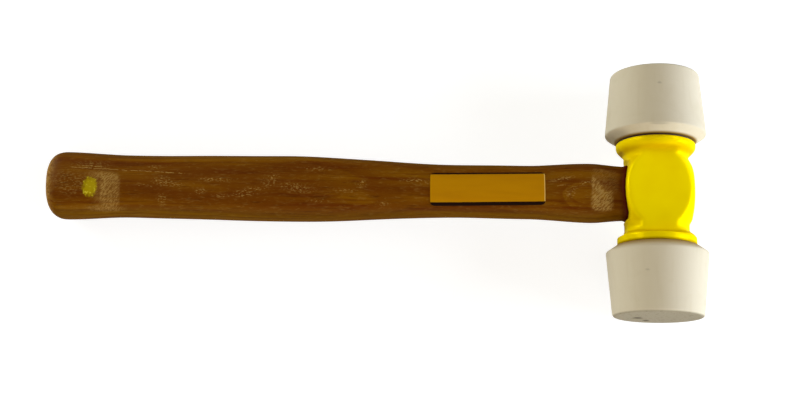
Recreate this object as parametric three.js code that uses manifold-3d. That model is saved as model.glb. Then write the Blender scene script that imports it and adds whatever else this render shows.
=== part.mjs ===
// Double head mallet: a cast head on a wooden handle, with two screw-on rubber tips.
// Millimetres, +Z up. The mallet lies on its side.
// +X runs along the handle to the head, +Y along the head.
// Inside the group "mallet" the head centre is the origin and the handle runs straight along -X.
import * as THREE from "three";
import { mergeVertices } from "three/addons/utils/BufferGeometryUtils.js";
import Module from "manifold-3d";

const wasm = await Module();
wasm.setup();

// Clearances
const FIT_GAP = 0.25; // around each piece that sits inside another
const SEAT_GAP = 0.15; // on each side of a washer
const THREAD_GAP = 0.25; // between stud thread and tapped thread, along the radius

// Head casting
const HEAD_HALF_LENGTH = 25.9; // centre to the end face of a collar
const COLLAR_RADIUS = 20.2;
const COLLAR_THICKNESS = 6.3;
const COLLAR_EDGE_ROUND = 0.7;
const NECK_RADIUS = 16.8;
const NECK_LENGTH = 5;
const BARREL_RADIUS = 22;
const CHEEK_THICKNESS = 26.8; // across the two flat cheeks, along Z
const CHEEK_COVE = 2.5; // hollow rounding where a cheek runs up to a collar
const EYE_LENGTH = 33.8; // across the two flat eye faces, along X
const EYE_OFFSET = 1.2; // middle of the eye faces beyond the head axis
const EDGE_SHARPNESS = 28; // higher gives tighter edges around cheeks and eye faces

// Eye, measured where the handle goes in
const EYE_HEIGHT = 25.2; // along Y
const EYE_WIDTH = 17; // along Z
const EYE_FLARE = 0.8; // growth of each half towards the far face
const EYE_SQUARENESS = 2.6;
const EYE_WALL = 2; // metal left between the eye and a tapped hole

// Thread of the tips, half inch with 13 turns to the inch
const THREAD_RADIUS = 6.35;
const THREAD_PITCH = 25.4 / 13;
const THREAD_DEPTH = 1.15;
const STUD_END_GAP = 0.6; // between the stud and the bottom of its hole
const STUD_CHAMFER = 0.9;

// Rubber tips
const TIP_RIM_RADIUS = 25.4;
const TIP_FACE_RADIUS = 22.5;
const TIP_SIDE_LENGTH = 32.1;
const TIP_BEVEL_DEPTH = 3.6;
const TIP_SEAT_RADIUS = 20.2;
const TIP_FACE_ROUND = 3;
const TIP_RIM_ROUND = 0.8;

// Plate of the stud, moulded into the rubber
const PLATE_RADIUS = 15;
const PLATE_THICKNESS = 3;
const PLATE_DEPTH = 5; // rubber between the back of the tip and the plate

// Washers
const WASHER_THICKNESS = 0.8;
const WASHER_RADIUS = 19.9;

// Handle: width along Y and thickness along Z at its swells and waists
const HANDLE_LENGTH = 316; // butt end to head centre
const HANDLE_SQUARENESS = 2.4;
const BUTT_WIDTH = 35.6;
const BUTT_THICKNESS = 25;
const BUTT_SWELL_DISTANCE = 10.6; // from the butt end
const BUTT_ROUND_LENGTH = 11.5;
const BUTT_ROUNDNESS = 2.8;
const BUTT_SLANT = 0.055; // sideways slope of the butt end, out of square
const WAIST_WIDTH = 32.6;
const WAIST_THICKNESS = 23;
const WAIST_DISTANCE = 46; // from the butt end
const SWELL_WIDTH = 34.2;
const SWELL_THICKNESS = 24.2;
const SWELL_DISTANCE = 126; // from the butt end
const NECK_BACK_WIDTH = 27.2;
const NECK_BACK_THICKNESS = 18.6;
const NECK_BACK_DISTANCE = 97; // from the head centre
const NECK_FRONT_WIDTH = 27.4;
const NECK_FRONT_THICKNESS = 18.8;
const NECK_FRONT_DISTANCE = 66; // from the head centre
const SHOULDER_WIDTH = 30.3;
const SHOULDER_THICKNESS = 21.6;
const SHOULDER_DISTANCE = 33.5; // from the head centre
const MOUTH_OVERLAP = 1.2; // how far the handle stands out beyond the eye all round

// Wedges in the tenon
const TENON_RECESS = 0.4; // end of the tenon below the eye face
const KERF_DEPTH = 27;
const WOOD_WEDGE_THICKNESS = 3.9;
const WOOD_WEDGE_TIP = 0.9;
const STEEL_WEDGE_LENGTH = 15;
const STEEL_WEDGE_WIDTH = 12.6;
const STEEL_WEDGE_THICKNESS = 2.2;
const STEEL_WEDGE_TIP = 0.5;
const STEEL_WEDGE_SPACING = 11;

// Label on the handle neck
const LABEL_LENGTH = 58;
const LABEL_WIDTH = 16.8;
const LABEL_THICKNESS = 0.25;
const LABEL_DISTANCE = 85.4; // label centre from the head centre
const LABEL_OFFSET = -0.5; // label centre off the handle's middle line
const LABEL_TILT = 0.0225; // radians

// Fineness of the round shapes
const ROUND_SIDES = 40;
const OVAL_SIDES = 32;
const THREAD_SIDES = 20;
const HANDLE_STEP = 9; // longest distance between two handle sections
const BUTT_STEPS = 7; // sections in the rounding of the butt
const CASTING_STEPS = 6; // steps along the barrel and along a collar
const ROUNDING_STEPS = 3; // steps in the rounding of a turned corner
const LABEL_STEPS_ACROSS = 8;
const LABEL_STEPS_ALONG = 12;
const LEAN_LIMIT = 0.2; // radians, steepest lean of the lying mallet that is tried
const LEAN_STEPS = 40; // halvings in the search for that lean
const CUT_BEYOND = 1; // how far a cutting shape runs past the face that it cuts

// Places along the head axis, from the head centre outwards
const barrelHalfLength = HEAD_HALF_LENGTH - COLLAR_THICKNESS - NECK_LENGTH;
const collarCorner = HEAD_HALF_LENGTH - COLLAR_THICKNESS;
const holeBottom = EYE_HEIGHT / 2 + EYE_FLARE + EYE_WALL;
const studEnd = holeBottom + STUD_END_GAP;
const washerBack = HEAD_HALF_LENGTH + SEAT_GAP;
const tipSeat = washerBack + WASHER_THICKNESS + SEAT_GAP;
const tipRim = tipSeat + TIP_BEVEL_DEPTH;
const tipFace = tipRim + TIP_SIDE_LENGTH;
const plateBack = tipSeat + PLATE_DEPTH;
const threadRoot = THREAD_RADIUS - THREAD_DEPTH;

// Places along the handle axis
const eyeBack = EYE_OFFSET - EYE_LENGTH / 2;
const eyeFront = EYE_OFFSET + EYE_LENGTH / 2;
const mouth = eyeBack - FIT_GAP;
const tenonEnd = eyeFront - TENON_RECESS;

// Meshes and solids

/** Turns a geometry into a closed solid for adding and subtracting, with its faces pointing out. */
function toSolid(geometry) {
  const bare = geometry.clone();
  bare.deleteAttribute("normal");
  bare.deleteAttribute("uv");
  const merged = mergeVertices(bare, 1e-4);
  const index = Array.from(merged.index.array);
  const corners = [];
  for (let i = 0; i < index.length; i += 3) {
    const [a, b, c] = index.slice(i, i + 3);
    if (a !== b && b !== c && c !== a) corners.push(a, b, c);
  }
  const vertProperties = new Float32Array(merged.attributes.position.array);
  const build = (triVerts) => {
    const mesh = new wasm.Mesh({ numProp: 3, vertProperties, triVerts: new Uint32Array(triVerts) });
    mesh.merge();
    return new wasm.Manifold(mesh);
  };
  const solid = build(corners);
  return solid.volume() > 0 ? solid : build(corners.reverse());
}

/** Turns a solid back into a geometry. */
function toGeometry(solid) {
  const mesh = solid.getMesh();
  const geometry = new THREE.BufferGeometry();
  const places = [];
  for (let i = 0; i < mesh.vertProperties.length; i += mesh.numProp) {
    places.push(...mesh.vertProperties.slice(i, i + 3));
  }
  geometry.setAttribute("position", new THREE.Float32BufferAttribute(places, 3));
  geometry.setIndex(Array.from(mesh.triVerts));
  return geometry;
}

/** Middle of a ring of points. */
function ringMiddle(ring) {
  return ring.reduce((sum, point) => sum.add(point), new THREE.Vector3()).divideScalar(ring.length);
}

/** Skin through rings of equally many points, closed by a fan to a point at each end. */
function loft(rings, start = ringMiddle(rings[0]), end = ringMiddle(rings.at(-1))) {
  const count = rings[0].length;
  const last = rings.length - 1;
  const places = [start, end, ...rings.flat()];
  const at = (ring, side) => 2 + ring * count + (side % count);
  const index = [];
  for (let side = 0; side < count; side += 1) {
    index.push(0, at(0, side + 1), at(0, side));
    index.push(1, at(last, side), at(last, side + 1));
    for (let ring = 0; ring < last; ring += 1) {
      index.push(at(ring, side), at(ring, side + 1), at(ring + 1, side + 1));
      index.push(at(ring, side), at(ring + 1, side + 1), at(ring + 1, side));
    }
  }
  const geometry = new THREE.BufferGeometry().setFromPoints(places);
  geometry.setIndex(index);
  return geometry;
}

/** Turned solid about Y from corners [radius, height, reach of the rounding]. */
function turned(corners, sides = ROUND_SIDES) {
  const points = [];
  corners.forEach(([radius, height, reach = 0], i) => {
    const corner = new THREE.Vector2(radius, height);
    if (reach === 0) {
      points.push(corner);
      return;
    }
    const towards = (other) => {
      const step = new THREE.Vector2(other[0], other[1]).sub(corner);
      return corner.clone().addScaledVector(step.normalize(), reach);
    };
    const [from, to] = [towards(corners[i - 1]), towards(corners[i + 1])];
    const curve = new THREE.QuadraticBezierCurve(from, corner, to);
    points.push(...curve.getPoints(ROUNDING_STEPS));
  });
  return new THREE.LatheGeometry(points, sides);
}

/** Smooth step from 0 to 1. */
function ease(share) {
  return share * share * (3 - 2 * share);
}

/** Point of an oval with half sizes along Y and Z, at an angle from +Y towards +Z. */
function ovalPoint(x, halfHeight, halfWidth, squareness, angle) {
  const bend = (value) => Math.sign(value) * Math.abs(value) ** (2 / squareness);
  return new THREE.Vector3(x, halfHeight * bend(Math.cos(angle)), halfWidth * bend(Math.sin(angle)));
}

/** Ring of points of such an oval. */
function ovalRing(x, halfHeight, halfWidth, squareness) {
  const angles = Array.from({ length: OVAL_SIDES }, (_, i) => (i / OVAL_SIDES) * 2 * Math.PI);
  return angles.map((angle) => ovalPoint(x, halfHeight, halfWidth, squareness, angle));
}

/** Rectangle around the handle axis, across X. */
function rectangleRing(x, sizeY, sizeZ, centreY = 0) {
  const signs = [[-1, -1], [1, -1], [1, 1], [-1, 1]];
  return signs.map(([y, z]) => new THREE.Vector3(x, centreY + (y * sizeY) / 2, (z * sizeZ) / 2));
}

/** Bar along +Y with a right-hand thread, grown by a gap along the radius. */
function threadedBar(start, end, gap) {
  const crest = THREAD_RADIUS + gap;
  const root = threadRoot + gap;
  // One turn of the thread, as [share of the pitch, radius].
  const profile = [[0, crest], [1 / 8, crest], [7 / 16, root], [11 / 16, root]];
  // Turns are counted from the head centre, so that the two threads mesh.
  const firstTurn = Math.floor(start / THREAD_PITCH) - 2;
  const turns = Math.ceil(end / THREAD_PITCH) + 1 - firstTurn;
  const rows = turns * profile.length;
  const places = [];
  for (let row = 0; row <= rows; row += 1) {
    const [share, radius] = profile[row % profile.length];
    const along = Math.floor(row / profile.length) + share;
    for (let side = 0; side < THREAD_SIDES; side += 1) {
      const turn = side / THREAD_SIDES;
      const angle = turn * 2 * Math.PI;
      const height = (firstTurn + along + turn) * THREAD_PITCH;
      places.push(new THREE.Vector3(radius * Math.sin(angle), height, radius * Math.cos(angle)));
    }
  }
  // The last column of a row meets the first column one turn further up.
  const at = (row, side) => {
    const wraps = side === THREAD_SIDES;
    return wraps ? (row + profile.length) * THREAD_SIDES : row * THREAD_SIDES + side;
  };
  const index = [];
  const lastRow = rows - profile.length;
  for (let row = 0; row < lastRow; row += 1) {
    for (let side = 0; side < THREAD_SIDES; side += 1) {
      index.push(at(row, side), at(row, side + 1), at(row + 1, side + 1));
      index.push(at(row, side), at(row + 1, side + 1), at(row + 1, side));
    }
  }
  for (const [row, flip] of [[0, true], [lastRow, false]]) {
    const rim = [];
    for (let side = 0; side <= THREAD_SIDES; side += 1) rim.push(at(row, side));
    for (let back = profile.length - 1; back > 0; back -= 1) rim.push(at(row + back, 0));
    const centre = places.length;
    places.push(new THREE.Vector3(0, places[rim[0]].y + THREAD_PITCH / 2, 0));
    rim.forEach((a, i) => {
      const b = rim[(i + 1) % rim.length];
      index.push(centre, flip ? b : a, flip ? a : b);
    });
  }
  const geometry = new THREE.BufferGeometry().setFromPoints(places);
  geometry.setIndex(index);
  const reach = crest + CUT_BEYOND;
  const stretch = turned([[0, start], [reach, start], [reach, end], [0, end]]);
  return toSolid(geometry).intersect(toSolid(stretch));
}

// Head casting

/** Outline of the casting as [distance from the centre, radius], from the middle to a collar face. */
function castingOutline() {
  const outline = [];
  const rise = BARREL_RADIUS - NECK_RADIUS;
  const arc = (barrelHalfLength ** 2 + rise ** 2) / (2 * rise);
  for (let step = 0; step <= CASTING_STEPS; step += 1) {
    const along = (step / CASTING_STEPS) * barrelHalfLength;
    outline.push([along, BARREL_RADIUS - arc + Math.sqrt(arc ** 2 - along ** 2)]);
  }
  const beadLength = COLLAR_THICKNESS - COLLAR_EDGE_ROUND;
  const beadHeight = COLLAR_RADIUS - NECK_RADIUS;
  for (let step = 0; step <= CASTING_STEPS; step += 1) {
    const angle = ((step / CASTING_STEPS) * Math.PI) / 2;
    const along = collarCorner + beadLength * (1 - Math.cos(angle));
    outline.push([along, NECK_RADIUS + beadHeight * Math.sin(angle)]);
  }
  outline.push([HEAD_HALF_LENGTH, COLLAR_RADIUS - COLLAR_EDGE_ROUND]);
  return outline;
}

/** Half thickness that the cheeks leave, at a distance from the head centre. */
function cheekLimit(along) {
  const into = along - collarCorner + CHEEK_COVE / 4;
  if (into <= 0) return CHEEK_THICKNESS / 2;
  if (into >= CHEEK_COVE) return Infinity;
  return CHEEK_THICKNESS / 2 + CHEEK_COVE - Math.sqrt(CHEEK_COVE ** 2 - into ** 2);
}

/** Ring of the casting: a circle, flattened softly by the cheeks and the eye faces. */
function castingRing(y, radius) {
  const cheek = cheekLimit(Math.abs(y));
  const cove = cheek - CHEEK_THICKNESS / 2;
  return Array.from({ length: ROUND_SIDES }, (_, i) => {
    const angle = (i / ROUND_SIDES) * 2 * Math.PI;
    const across = Math.sin(angle);
    const face = cove + (across > 0 ? eyeFront : -eyeBack);
    const limits = [1 / radius, Math.abs(across) / face, Math.abs(Math.cos(angle)) / cheek];
    const total = limits.reduce((sum, limit) => sum + limit ** EDGE_SHARPNESS, 0);
    const reach = total ** (-1 / EDGE_SHARPNESS);
    return new THREE.Vector3(reach * across, y, reach * Math.cos(angle));
  });
}

/** Tapped hole with a countersunk mouth, along +Y. */
function tappedHole() {
  const drill = threadRoot + THREAD_GAP;
  const mouthRadius = THREAD_RADIUS + THREAD_GAP;
  const beyond = HEAD_HALF_LENGTH + CUT_BEYOND;
  const sink = mouthRadius - drill;
  const drilled = turned([
    [0, holeBottom],
    [drill, holeBottom],
    [drill, HEAD_HALF_LENGTH - sink],
    [mouthRadius, HEAD_HALF_LENGTH],
    [mouthRadius, beyond],
    [0, beyond],
  ], THREAD_SIDES);
  return toSolid(drilled).add(threadedBar(holeBottom + STUD_END_GAP / 2, beyond, THREAD_GAP));
}

function headCasting() {
  const outline = castingOutline();
  const mirrored = outline.slice(1).reverse().map(([y, radius]) => [-y, radius]);
  const body = toSolid(loft([...mirrored, ...outline].map(([y, radius]) => castingRing(y, radius))));
  const eye = toSolid(loft([eyeBack - CUT_BEYOND, eyeFront + CUT_BEYOND].map((x) => tenonRing(x, FIT_GAP))));
  const hole = tappedHole();
  return toGeometry(body.subtract(eye).subtract(hole).subtract(hole.rotate([0, 0, 180])));
}

// Handle and wedges

/** Ring of the tenon at a distance along the handle axis, grown by a gap. */
function tenonRing(x, gap) {
  const flare = (EYE_FLARE * (x - eyeBack)) / EYE_LENGTH - FIT_GAP + gap;
  return ovalRing(x, EYE_HEIGHT / 2 + flare, EYE_WIDTH / 2 + flare, EYE_SQUARENESS);
}

/** Swells and waists of the handle as [x, width, thickness], from the butt to the head. */
const handleStations = [
  [BUTT_SWELL_DISTANCE - HANDLE_LENGTH, BUTT_WIDTH, BUTT_THICKNESS],
  [WAIST_DISTANCE - HANDLE_LENGTH, WAIST_WIDTH, WAIST_THICKNESS],
  [SWELL_DISTANCE - HANDLE_LENGTH, SWELL_WIDTH, SWELL_THICKNESS],
  [-NECK_BACK_DISTANCE, NECK_BACK_WIDTH, NECK_BACK_THICKNESS],
  [-NECK_FRONT_DISTANCE, NECK_FRONT_WIDTH, NECK_FRONT_THICKNESS],
  [-SHOULDER_DISTANCE, SHOULDER_WIDTH, SHOULDER_THICKNESS],
  [mouth, EYE_HEIGHT + 2 * MOUTH_OVERLAP, EYE_WIDTH + 2 * MOUTH_OVERLAP],
];

/** How far x lies into the rounding of the butt, from 0 to 1 at its end. */
function buttShare(x) {
  return Math.max(BUTT_ROUND_LENGTH - HANDLE_LENGTH - x, 0) / BUTT_ROUND_LENGTH;
}

/** Half width and half thickness of the handle at x. */
function handleSize(x) {
  const last = handleStations.length - 2;
  const found = handleStations.findIndex((station, i) => i <= last && x <= handleStations[i + 1][0]);
  const i = found < 0 ? last : found;
  const [x0, width0, thickness0] = handleStations[i];
  const [x1, width1, thickness1] = handleStations[i + 1];
  const share = ease(Math.min(Math.max((x - x0) / (x1 - x0), 0), 1));
  const close = Math.max(1 - buttShare(x) ** BUTT_ROUNDNESS, 0) ** (1 / BUTT_ROUNDNESS);
  return {
    halfWidth: ((width0 + (width1 - width0) * share) / 2) * close,
    halfThickness: ((thickness0 + (thickness1 - thickness0) * share) / 2) * close,
  };
}

/** Distances along the handle where it gets a section. */
function handlePlaces() {
  const places = [mouth];
  for (let step = 1; step < BUTT_STEPS; step += 1) {
    const share = Math.sin(((step / BUTT_STEPS) * Math.PI) / 2);
    places.push(BUTT_ROUND_LENGTH * (1 - share) - HANDLE_LENGTH);
  }
  for (let i = 0; i + 1 < handleStations.length; i += 1) {
    const from = handleStations[i][0];
    const span = handleStations[i + 1][0] - from;
    const steps = Math.max(Math.ceil(span / HANDLE_STEP), 4);
    for (let step = i === 0 ? 1 : 0; step < steps; step += 1) places.push(from + (span * step) / steps);
  }
  return places.sort((a, b) => a - b);
}

/** Section of the handle at x, with the butt end leaning out of square. */
function handleRing(x) {
  const { halfWidth, halfThickness } = handleSize(x);
  const lean = BUTT_SLANT * buttShare(x);
  const ring = ovalRing(x, halfWidth, halfThickness, HANDLE_SQUARENESS);
  ring.forEach((point) => point.setX(x - lean * point.y));
  return ring;
}

/** Taper from the end of the tenon inwards: a wedge, or with a gap the slot that takes it. */
function taper(length, endSize, tipSize, gap, ringOfSize) {
  const size = (x) => tipSize + ((endSize - tipSize) * (x - tenonEnd + length)) / length + 2 * gap;
  const beyond = gap > 0 ? CUT_BEYOND : 0;
  const ends = [tenonEnd - length - gap, tenonEnd + beyond];
  return toSolid(loft(ends.map((x) => ringOfSize(x, size(x)))));
}

/** The two steel wedges, or with a gap their slots. */
function steelTapers(gap) {
  return [1, -1].map((side) => taper(
    STEEL_WEDGE_LENGTH,
    STEEL_WEDGE_THICKNESS,
    STEEL_WEDGE_TIP,
    gap,
    (x, size) => rectangleRing(x, size, STEEL_WEDGE_WIDTH + 2 * gap, (side * STEEL_WEDGE_SPACING) / 2),
  ));
}

/** Takes the slots of the steel wedges out of a solid. */
function slotted(solid) {
  return steelTapers(FIT_GAP).reduce((rest, slot) => rest.subtract(slot), solid);
}

/** Taper of the wood wedge right across the eye, or with a gap the kerf. */
function woodTaper(gap) {
  const across = EYE_HEIGHT + 4 * EYE_FLARE;
  const ringOfSize = (x, size) => rectangleRing(x, across, size);
  return taper(KERF_DEPTH - FIT_GAP, WOOD_WEDGE_THICKNESS, WOOD_WEDGE_TIP, gap, ringOfSize);
}

function handle() {
  const buttEnd = new THREE.Vector3(-HANDLE_LENGTH, 0, 0);
  const tenon = [mouth, tenonEnd].map((x) => tenonRing(x, 0));
  const shaft = loft([...handlePlaces().map(handleRing), ...tenon], buttEnd);
  return toGeometry(slotted(toSolid(shaft).subtract(woodTaper(FIT_GAP))));
}

function woodWedge() {
  const tenon = loft([mouth, tenonEnd].map((x) => tenonRing(x, 0)));
  return toGeometry(slotted(woodTaper(0).intersect(toSolid(tenon))));
}

// Label

/** Place on the upper side of the handle, lifted off it by a height along the surface normal. */
function onHandle(x, y, height) {
  const { halfWidth, halfThickness } = handleSize(x);
  const share = Math.min(Math.abs(y) / halfWidth, 0.99);
  const z = halfThickness * (1 - share ** HANDLE_SQUARENESS) ** (1 / HANDLE_SQUARENESS);
  const slopeY = (Math.sign(y) * share ** (HANDLE_SQUARENESS - 1)) / halfWidth;
  const slopeZ = (z / halfThickness) ** (HANDLE_SQUARENESS - 1) / halfThickness;
  const normal = new THREE.Vector3(0, slopeY, slopeZ).normalize();
  return new THREE.Vector3(x, y, z).addScaledVector(normal, height);
}

function label() {
  const spread = (size, steps) => Array.from({ length: steps + 1 }, (_, i) => (i / steps - 0.5) * size);
  const across = spread(LABEL_WIDTH, LABEL_STEPS_ACROSS);
  const along = spread(LABEL_LENGTH, LABEL_STEPS_ALONG);
  return loft(along.map((u) => {
    const row = (height) => across.map((v) => {
      const x = u * Math.cos(LABEL_TILT) - v * Math.sin(LABEL_TILT) - LABEL_DISTANCE;
      const y = u * Math.sin(LABEL_TILT) + v * Math.cos(LABEL_TILT) + LABEL_OFFSET;
      return onHandle(x, y, height);
    });
    return [...row(FIT_GAP), ...row(FIT_GAP + LABEL_THICKNESS).reverse()];
  }));
}

// Tips, drawn along +Y outwards from the head centre

function rubberTip() {
  const cavityFace = plateBack + PLATE_THICKNESS + FIT_GAP;
  const studHole = THREAD_RADIUS + FIT_GAP;
  return turned([
    [0, tipFace],
    [TIP_FACE_RADIUS, tipFace, TIP_FACE_ROUND],
    [TIP_RIM_RADIUS, tipRim + TIP_RIM_ROUND, TIP_RIM_ROUND / 2],
    [TIP_RIM_RADIUS, tipRim, TIP_RIM_ROUND / 2],
    [TIP_SEAT_RADIUS, tipSeat],
    [studHole, tipSeat],
    [studHole, plateBack - FIT_GAP],
    [PLATE_RADIUS + FIT_GAP, plateBack - FIT_GAP],
    [PLATE_RADIUS + FIT_GAP, cavityFace],
    [0, cavityFace],
  ]);
}

function tipStud() {
  const plate = turned([
    [0, plateBack + PLATE_THICKNESS],
    [PLATE_RADIUS, plateBack + PLATE_THICKNESS],
    [PLATE_RADIUS, plateBack],
    [THREAD_RADIUS, plateBack],
    [THREAD_RADIUS, tipSeat],
    [0, tipSeat],
  ]);
  const wide = THREAD_RADIUS + CUT_BEYOND;
  const chamfered = turned([
    [0, studEnd],
    [THREAD_RADIUS - STUD_CHAMFER, studEnd],
    [wide, studEnd + STUD_CHAMFER + CUT_BEYOND],
    [wide, plateBack],
    [0, plateBack],
  ], THREAD_SIDES);
  const thread = threadedBar(studEnd, tipSeat + FIT_GAP, 0).intersect(toSolid(chamfered));
  return toGeometry(toSolid(plate).add(thread));
}

function washer() {
  const bore = THREAD_RADIUS + FIT_GAP;
  const front = washerBack + WASHER_THICKNESS;
  return turned([
    [bore, washerBack],
    [WASHER_RADIUS, washerBack],
    [WASHER_RADIUS, front],
    [bore, front],
    [bore, washerBack],
  ]);
}

// Assembly

const finishes = {
  enamel: { color: 0xe0c004, roughness: 0.3, metalness: 0 },
  rubber: { color: 0xd9ceb6, roughness: 0.85, metalness: 0 },
  hickory: { color: 0x6e3d08, roughness: 0.4, metalness: 0 },
  paleWood: { color: 0xb58a55, roughness: 0.7, metalness: 0 },
  steel: { color: 0x8d9095, roughness: 0.4, metalness: 0.9 },
  fibre: { color: 0x241a12, roughness: 0.8, metalness: 0 },
  gold: { color: 0xc4930f, roughness: 0.45, metalness: 0 },
};

/** Named mesh with its own material, with faces that point out. */
function piece(name, geometry, finish) {
  const mesh = new THREE.Mesh(toGeometry(toSolid(geometry)), new THREE.MeshStandardMaterial(finish));
  mesh.name = name;
  return mesh;
}

/** One end of the head: tip, stud and washer. */
function headEnd(name) {
  const end = new THREE.Group();
  end.name = `${name}_end`;
  end.add(piece(`${name}_tip`, rubberTip(), finishes.rubber));
  end.add(piece(`${name}_tip_stud`, tipStud(), finishes.steel));
  end.add(piece(`${name}_washer`, washer(), finishes.fibre));
  return end;
}

/** Angle about the head axis at which the handle's butt reaches the ground that the tips stand on. */
function lyingAngle(handleMesh) {
  const places = handleMesh.geometry.attributes.position;
  const lowest = (angle) => {
    let low = Infinity;
    for (let i = 0; i < places.count; i += 1) {
      low = Math.min(low, places.getX(i) * Math.sin(angle) + places.getZ(i) * Math.cos(angle));
    }
    return low;
  };
  let [level, steep] = [-LEAN_LIMIT, LEAN_LIMIT];
  for (let step = 0; step < LEAN_STEPS; step += 1) {
    const middle = (level + steep) / 2;
    if (lowest(middle) > -TIP_RIM_RADIUS) level = middle;
    else steep = middle;
  }
  return level;
}

const mallet = new THREE.Group();
mallet.name = "mallet";
const handleMesh = piece("handle", handle(), finishes.hickory);
const steelWedges = steelTapers(0).map(toGeometry);
const lowerEnd = headEnd("lower");
lowerEnd.rotation.z = Math.PI;
mallet.add(
  piece("head_casting", headCasting(), finishes.enamel),
  handleMesh,
  piece("wood_wedge", woodWedge(), finishes.paleWood),
  piece("upper_steel_wedge", steelWedges[0], finishes.steel),
  piece("lower_steel_wedge", steelWedges[1], finishes.steel),
  piece("handle_label", label(), finishes.gold),
  headEnd("upper"),
  lowerEnd,
);
mallet.rotation.y = -lyingAngle(handleMesh);

// The origin is under the middle of the lying mallet, on the ground.
const part = new THREE.Group();
part.name = "double_head_mallet";
part.add(mallet);
const box = new THREE.Box3().setFromObject(part, true);
const middle = box.getCenter(new THREE.Vector3());
mallet.position.set(-middle.x, -middle.y, -box.min.z);

export default part;
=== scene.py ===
"""Looks of a double head mallet: enamelled head, varnished hickory handle and pale rubber tips.

Shapes are drawn in millimetres in the mallet's own frame: the head centre is the origin, the handle runs
along -X, the head along Y, and the labelled side faces +Z. Each finished piece is then laid down in metres.
"""

import logging
import math
from collections.abc import Sequence
from dataclasses import dataclass
from enum import Enum

import bmesh
import bpy
import numpy as np
from mathutils import Matrix, Vector


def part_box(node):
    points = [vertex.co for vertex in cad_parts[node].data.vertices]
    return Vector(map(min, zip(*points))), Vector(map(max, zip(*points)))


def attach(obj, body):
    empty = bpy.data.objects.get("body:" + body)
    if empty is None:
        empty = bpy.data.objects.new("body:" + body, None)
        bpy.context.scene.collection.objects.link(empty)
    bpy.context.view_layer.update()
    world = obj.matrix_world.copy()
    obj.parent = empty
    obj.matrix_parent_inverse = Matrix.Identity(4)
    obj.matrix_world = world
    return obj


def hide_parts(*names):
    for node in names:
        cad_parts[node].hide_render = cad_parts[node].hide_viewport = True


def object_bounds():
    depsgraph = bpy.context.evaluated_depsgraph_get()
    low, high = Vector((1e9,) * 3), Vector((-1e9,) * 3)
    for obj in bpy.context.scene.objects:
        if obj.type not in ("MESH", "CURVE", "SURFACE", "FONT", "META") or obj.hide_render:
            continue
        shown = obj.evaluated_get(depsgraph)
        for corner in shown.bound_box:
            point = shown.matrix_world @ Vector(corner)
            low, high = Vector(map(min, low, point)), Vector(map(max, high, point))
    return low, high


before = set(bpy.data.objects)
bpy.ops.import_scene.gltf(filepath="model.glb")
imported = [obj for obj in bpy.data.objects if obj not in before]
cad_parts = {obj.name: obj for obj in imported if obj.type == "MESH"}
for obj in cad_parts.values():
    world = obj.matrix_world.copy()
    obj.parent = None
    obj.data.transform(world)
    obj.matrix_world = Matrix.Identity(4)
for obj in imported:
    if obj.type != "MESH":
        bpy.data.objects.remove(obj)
cad_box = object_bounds()

LOG = logging.getLogger("mallet")
MM = 0.001
FAR = 1e6
MERGE_DISTANCE = 1e-4
EMPTY_DISTANCE = 1e-5
WHITE = (1.0, 1.0, 1.0)

Mesh = bpy.types.Mesh
Material = bpy.types.Material
Piece = bpy.types.Object
Socket = bpy.types.NodeSocket
Triple = tuple[float, float, float]
Colour = tuple[float, float, float]


class End(Enum):
    """The two ends of the head."""

    UPPER = "upper"
    LOWER = "lower"

    @property
    def turn(self) -> Matrix:
        """Turn about the camera-facing axis that brings a form drawn along +Y to this end."""
        return Matrix.Rotation(0.0 if self is End.UPPER else math.pi, 4, "Z")


class Slot(Enum):
    """Material slots of the record."""

    ENAMEL = "yellow_enamel"
    HICKORY = "varnished_hickory"
    WEDGE_WOOD = "wedge_wood"
    WEDGE_STEEL = "wedge_steel"
    STUD_STEEL = "stud_steel"
    RUBBER = "pale_rubber"
    FIBRE = "dark_fibre"
    LABEL = "gold_label"


@dataclass(frozen=True)
class Lie:
    """How the mallet lies on the ground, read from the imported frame."""

    centre: Vector
    slope: float

    @classmethod
    def from_frame(cls) -> "Lie":
        """Finds the head centre between the tips, and the slope of the handle from its middle.

        Returns:
            The lie of the mallet.
        """
        low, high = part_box("upper_tip")
        centre = Vector(((low.x + high.x) / 2, 0.0, (low.z + high.z) / 2))
        points = np.array([vertex.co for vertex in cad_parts["handle"].data.vertices])
        middle = np.unique(points.round(6), axis=0).mean(axis=0)
        return cls(centre, math.atan2(centre.z - middle[2], centre.x - middle[0]))

    @property
    def turn(self) -> Matrix:
        """Rotation from the mallet's own frame to the lying one."""
        return Matrix.Rotation(-self.slope, 4, "Y")

    @property
    def matrix(self) -> Matrix:
        """Places millimetres of the mallet's own frame in the lying frame, in metres."""
        return Matrix.Translation(self.centre) @ self.turn @ Matrix.Scale(MM, 4)


# Shapes

def ease(share: np.ndarray) -> np.ndarray:
    """Smooth step from 0 to 1, flat outside."""
    held = np.clip(share, 0.0, 1.0)
    return held * held * (3 - 2 * held)


def bell(away: np.ndarray, width: float) -> np.ndarray:
    """Bump of height 1 that fades on both sides."""
    return np.exp(-((away / width) ** 2))


def around(sides: int) -> np.ndarray:
    """Even angles of a full turn."""
    return np.linspace(0, 2 * math.pi, sides, endpoint=False)


def ripple(points: np.ndarray, length: float) -> np.ndarray:
    """Gentle unevenness from crossed waves.

    Args:
        points: Places, one row each.
        length: Rough length of a wave.

    Returns:
        One value from -1 to 1 for each point.
    """
    x, y, z = (points * (2 * math.pi / length)).T
    waves = np.sin(x + 1.3 * np.sin(0.7 * y)) + np.sin(1.31 * y + 1.7 * np.sin(0.6 * z))
    return (waves + np.sin(0.83 * z + 1.1 * np.sin(0.5 * x))) / 3


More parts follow.
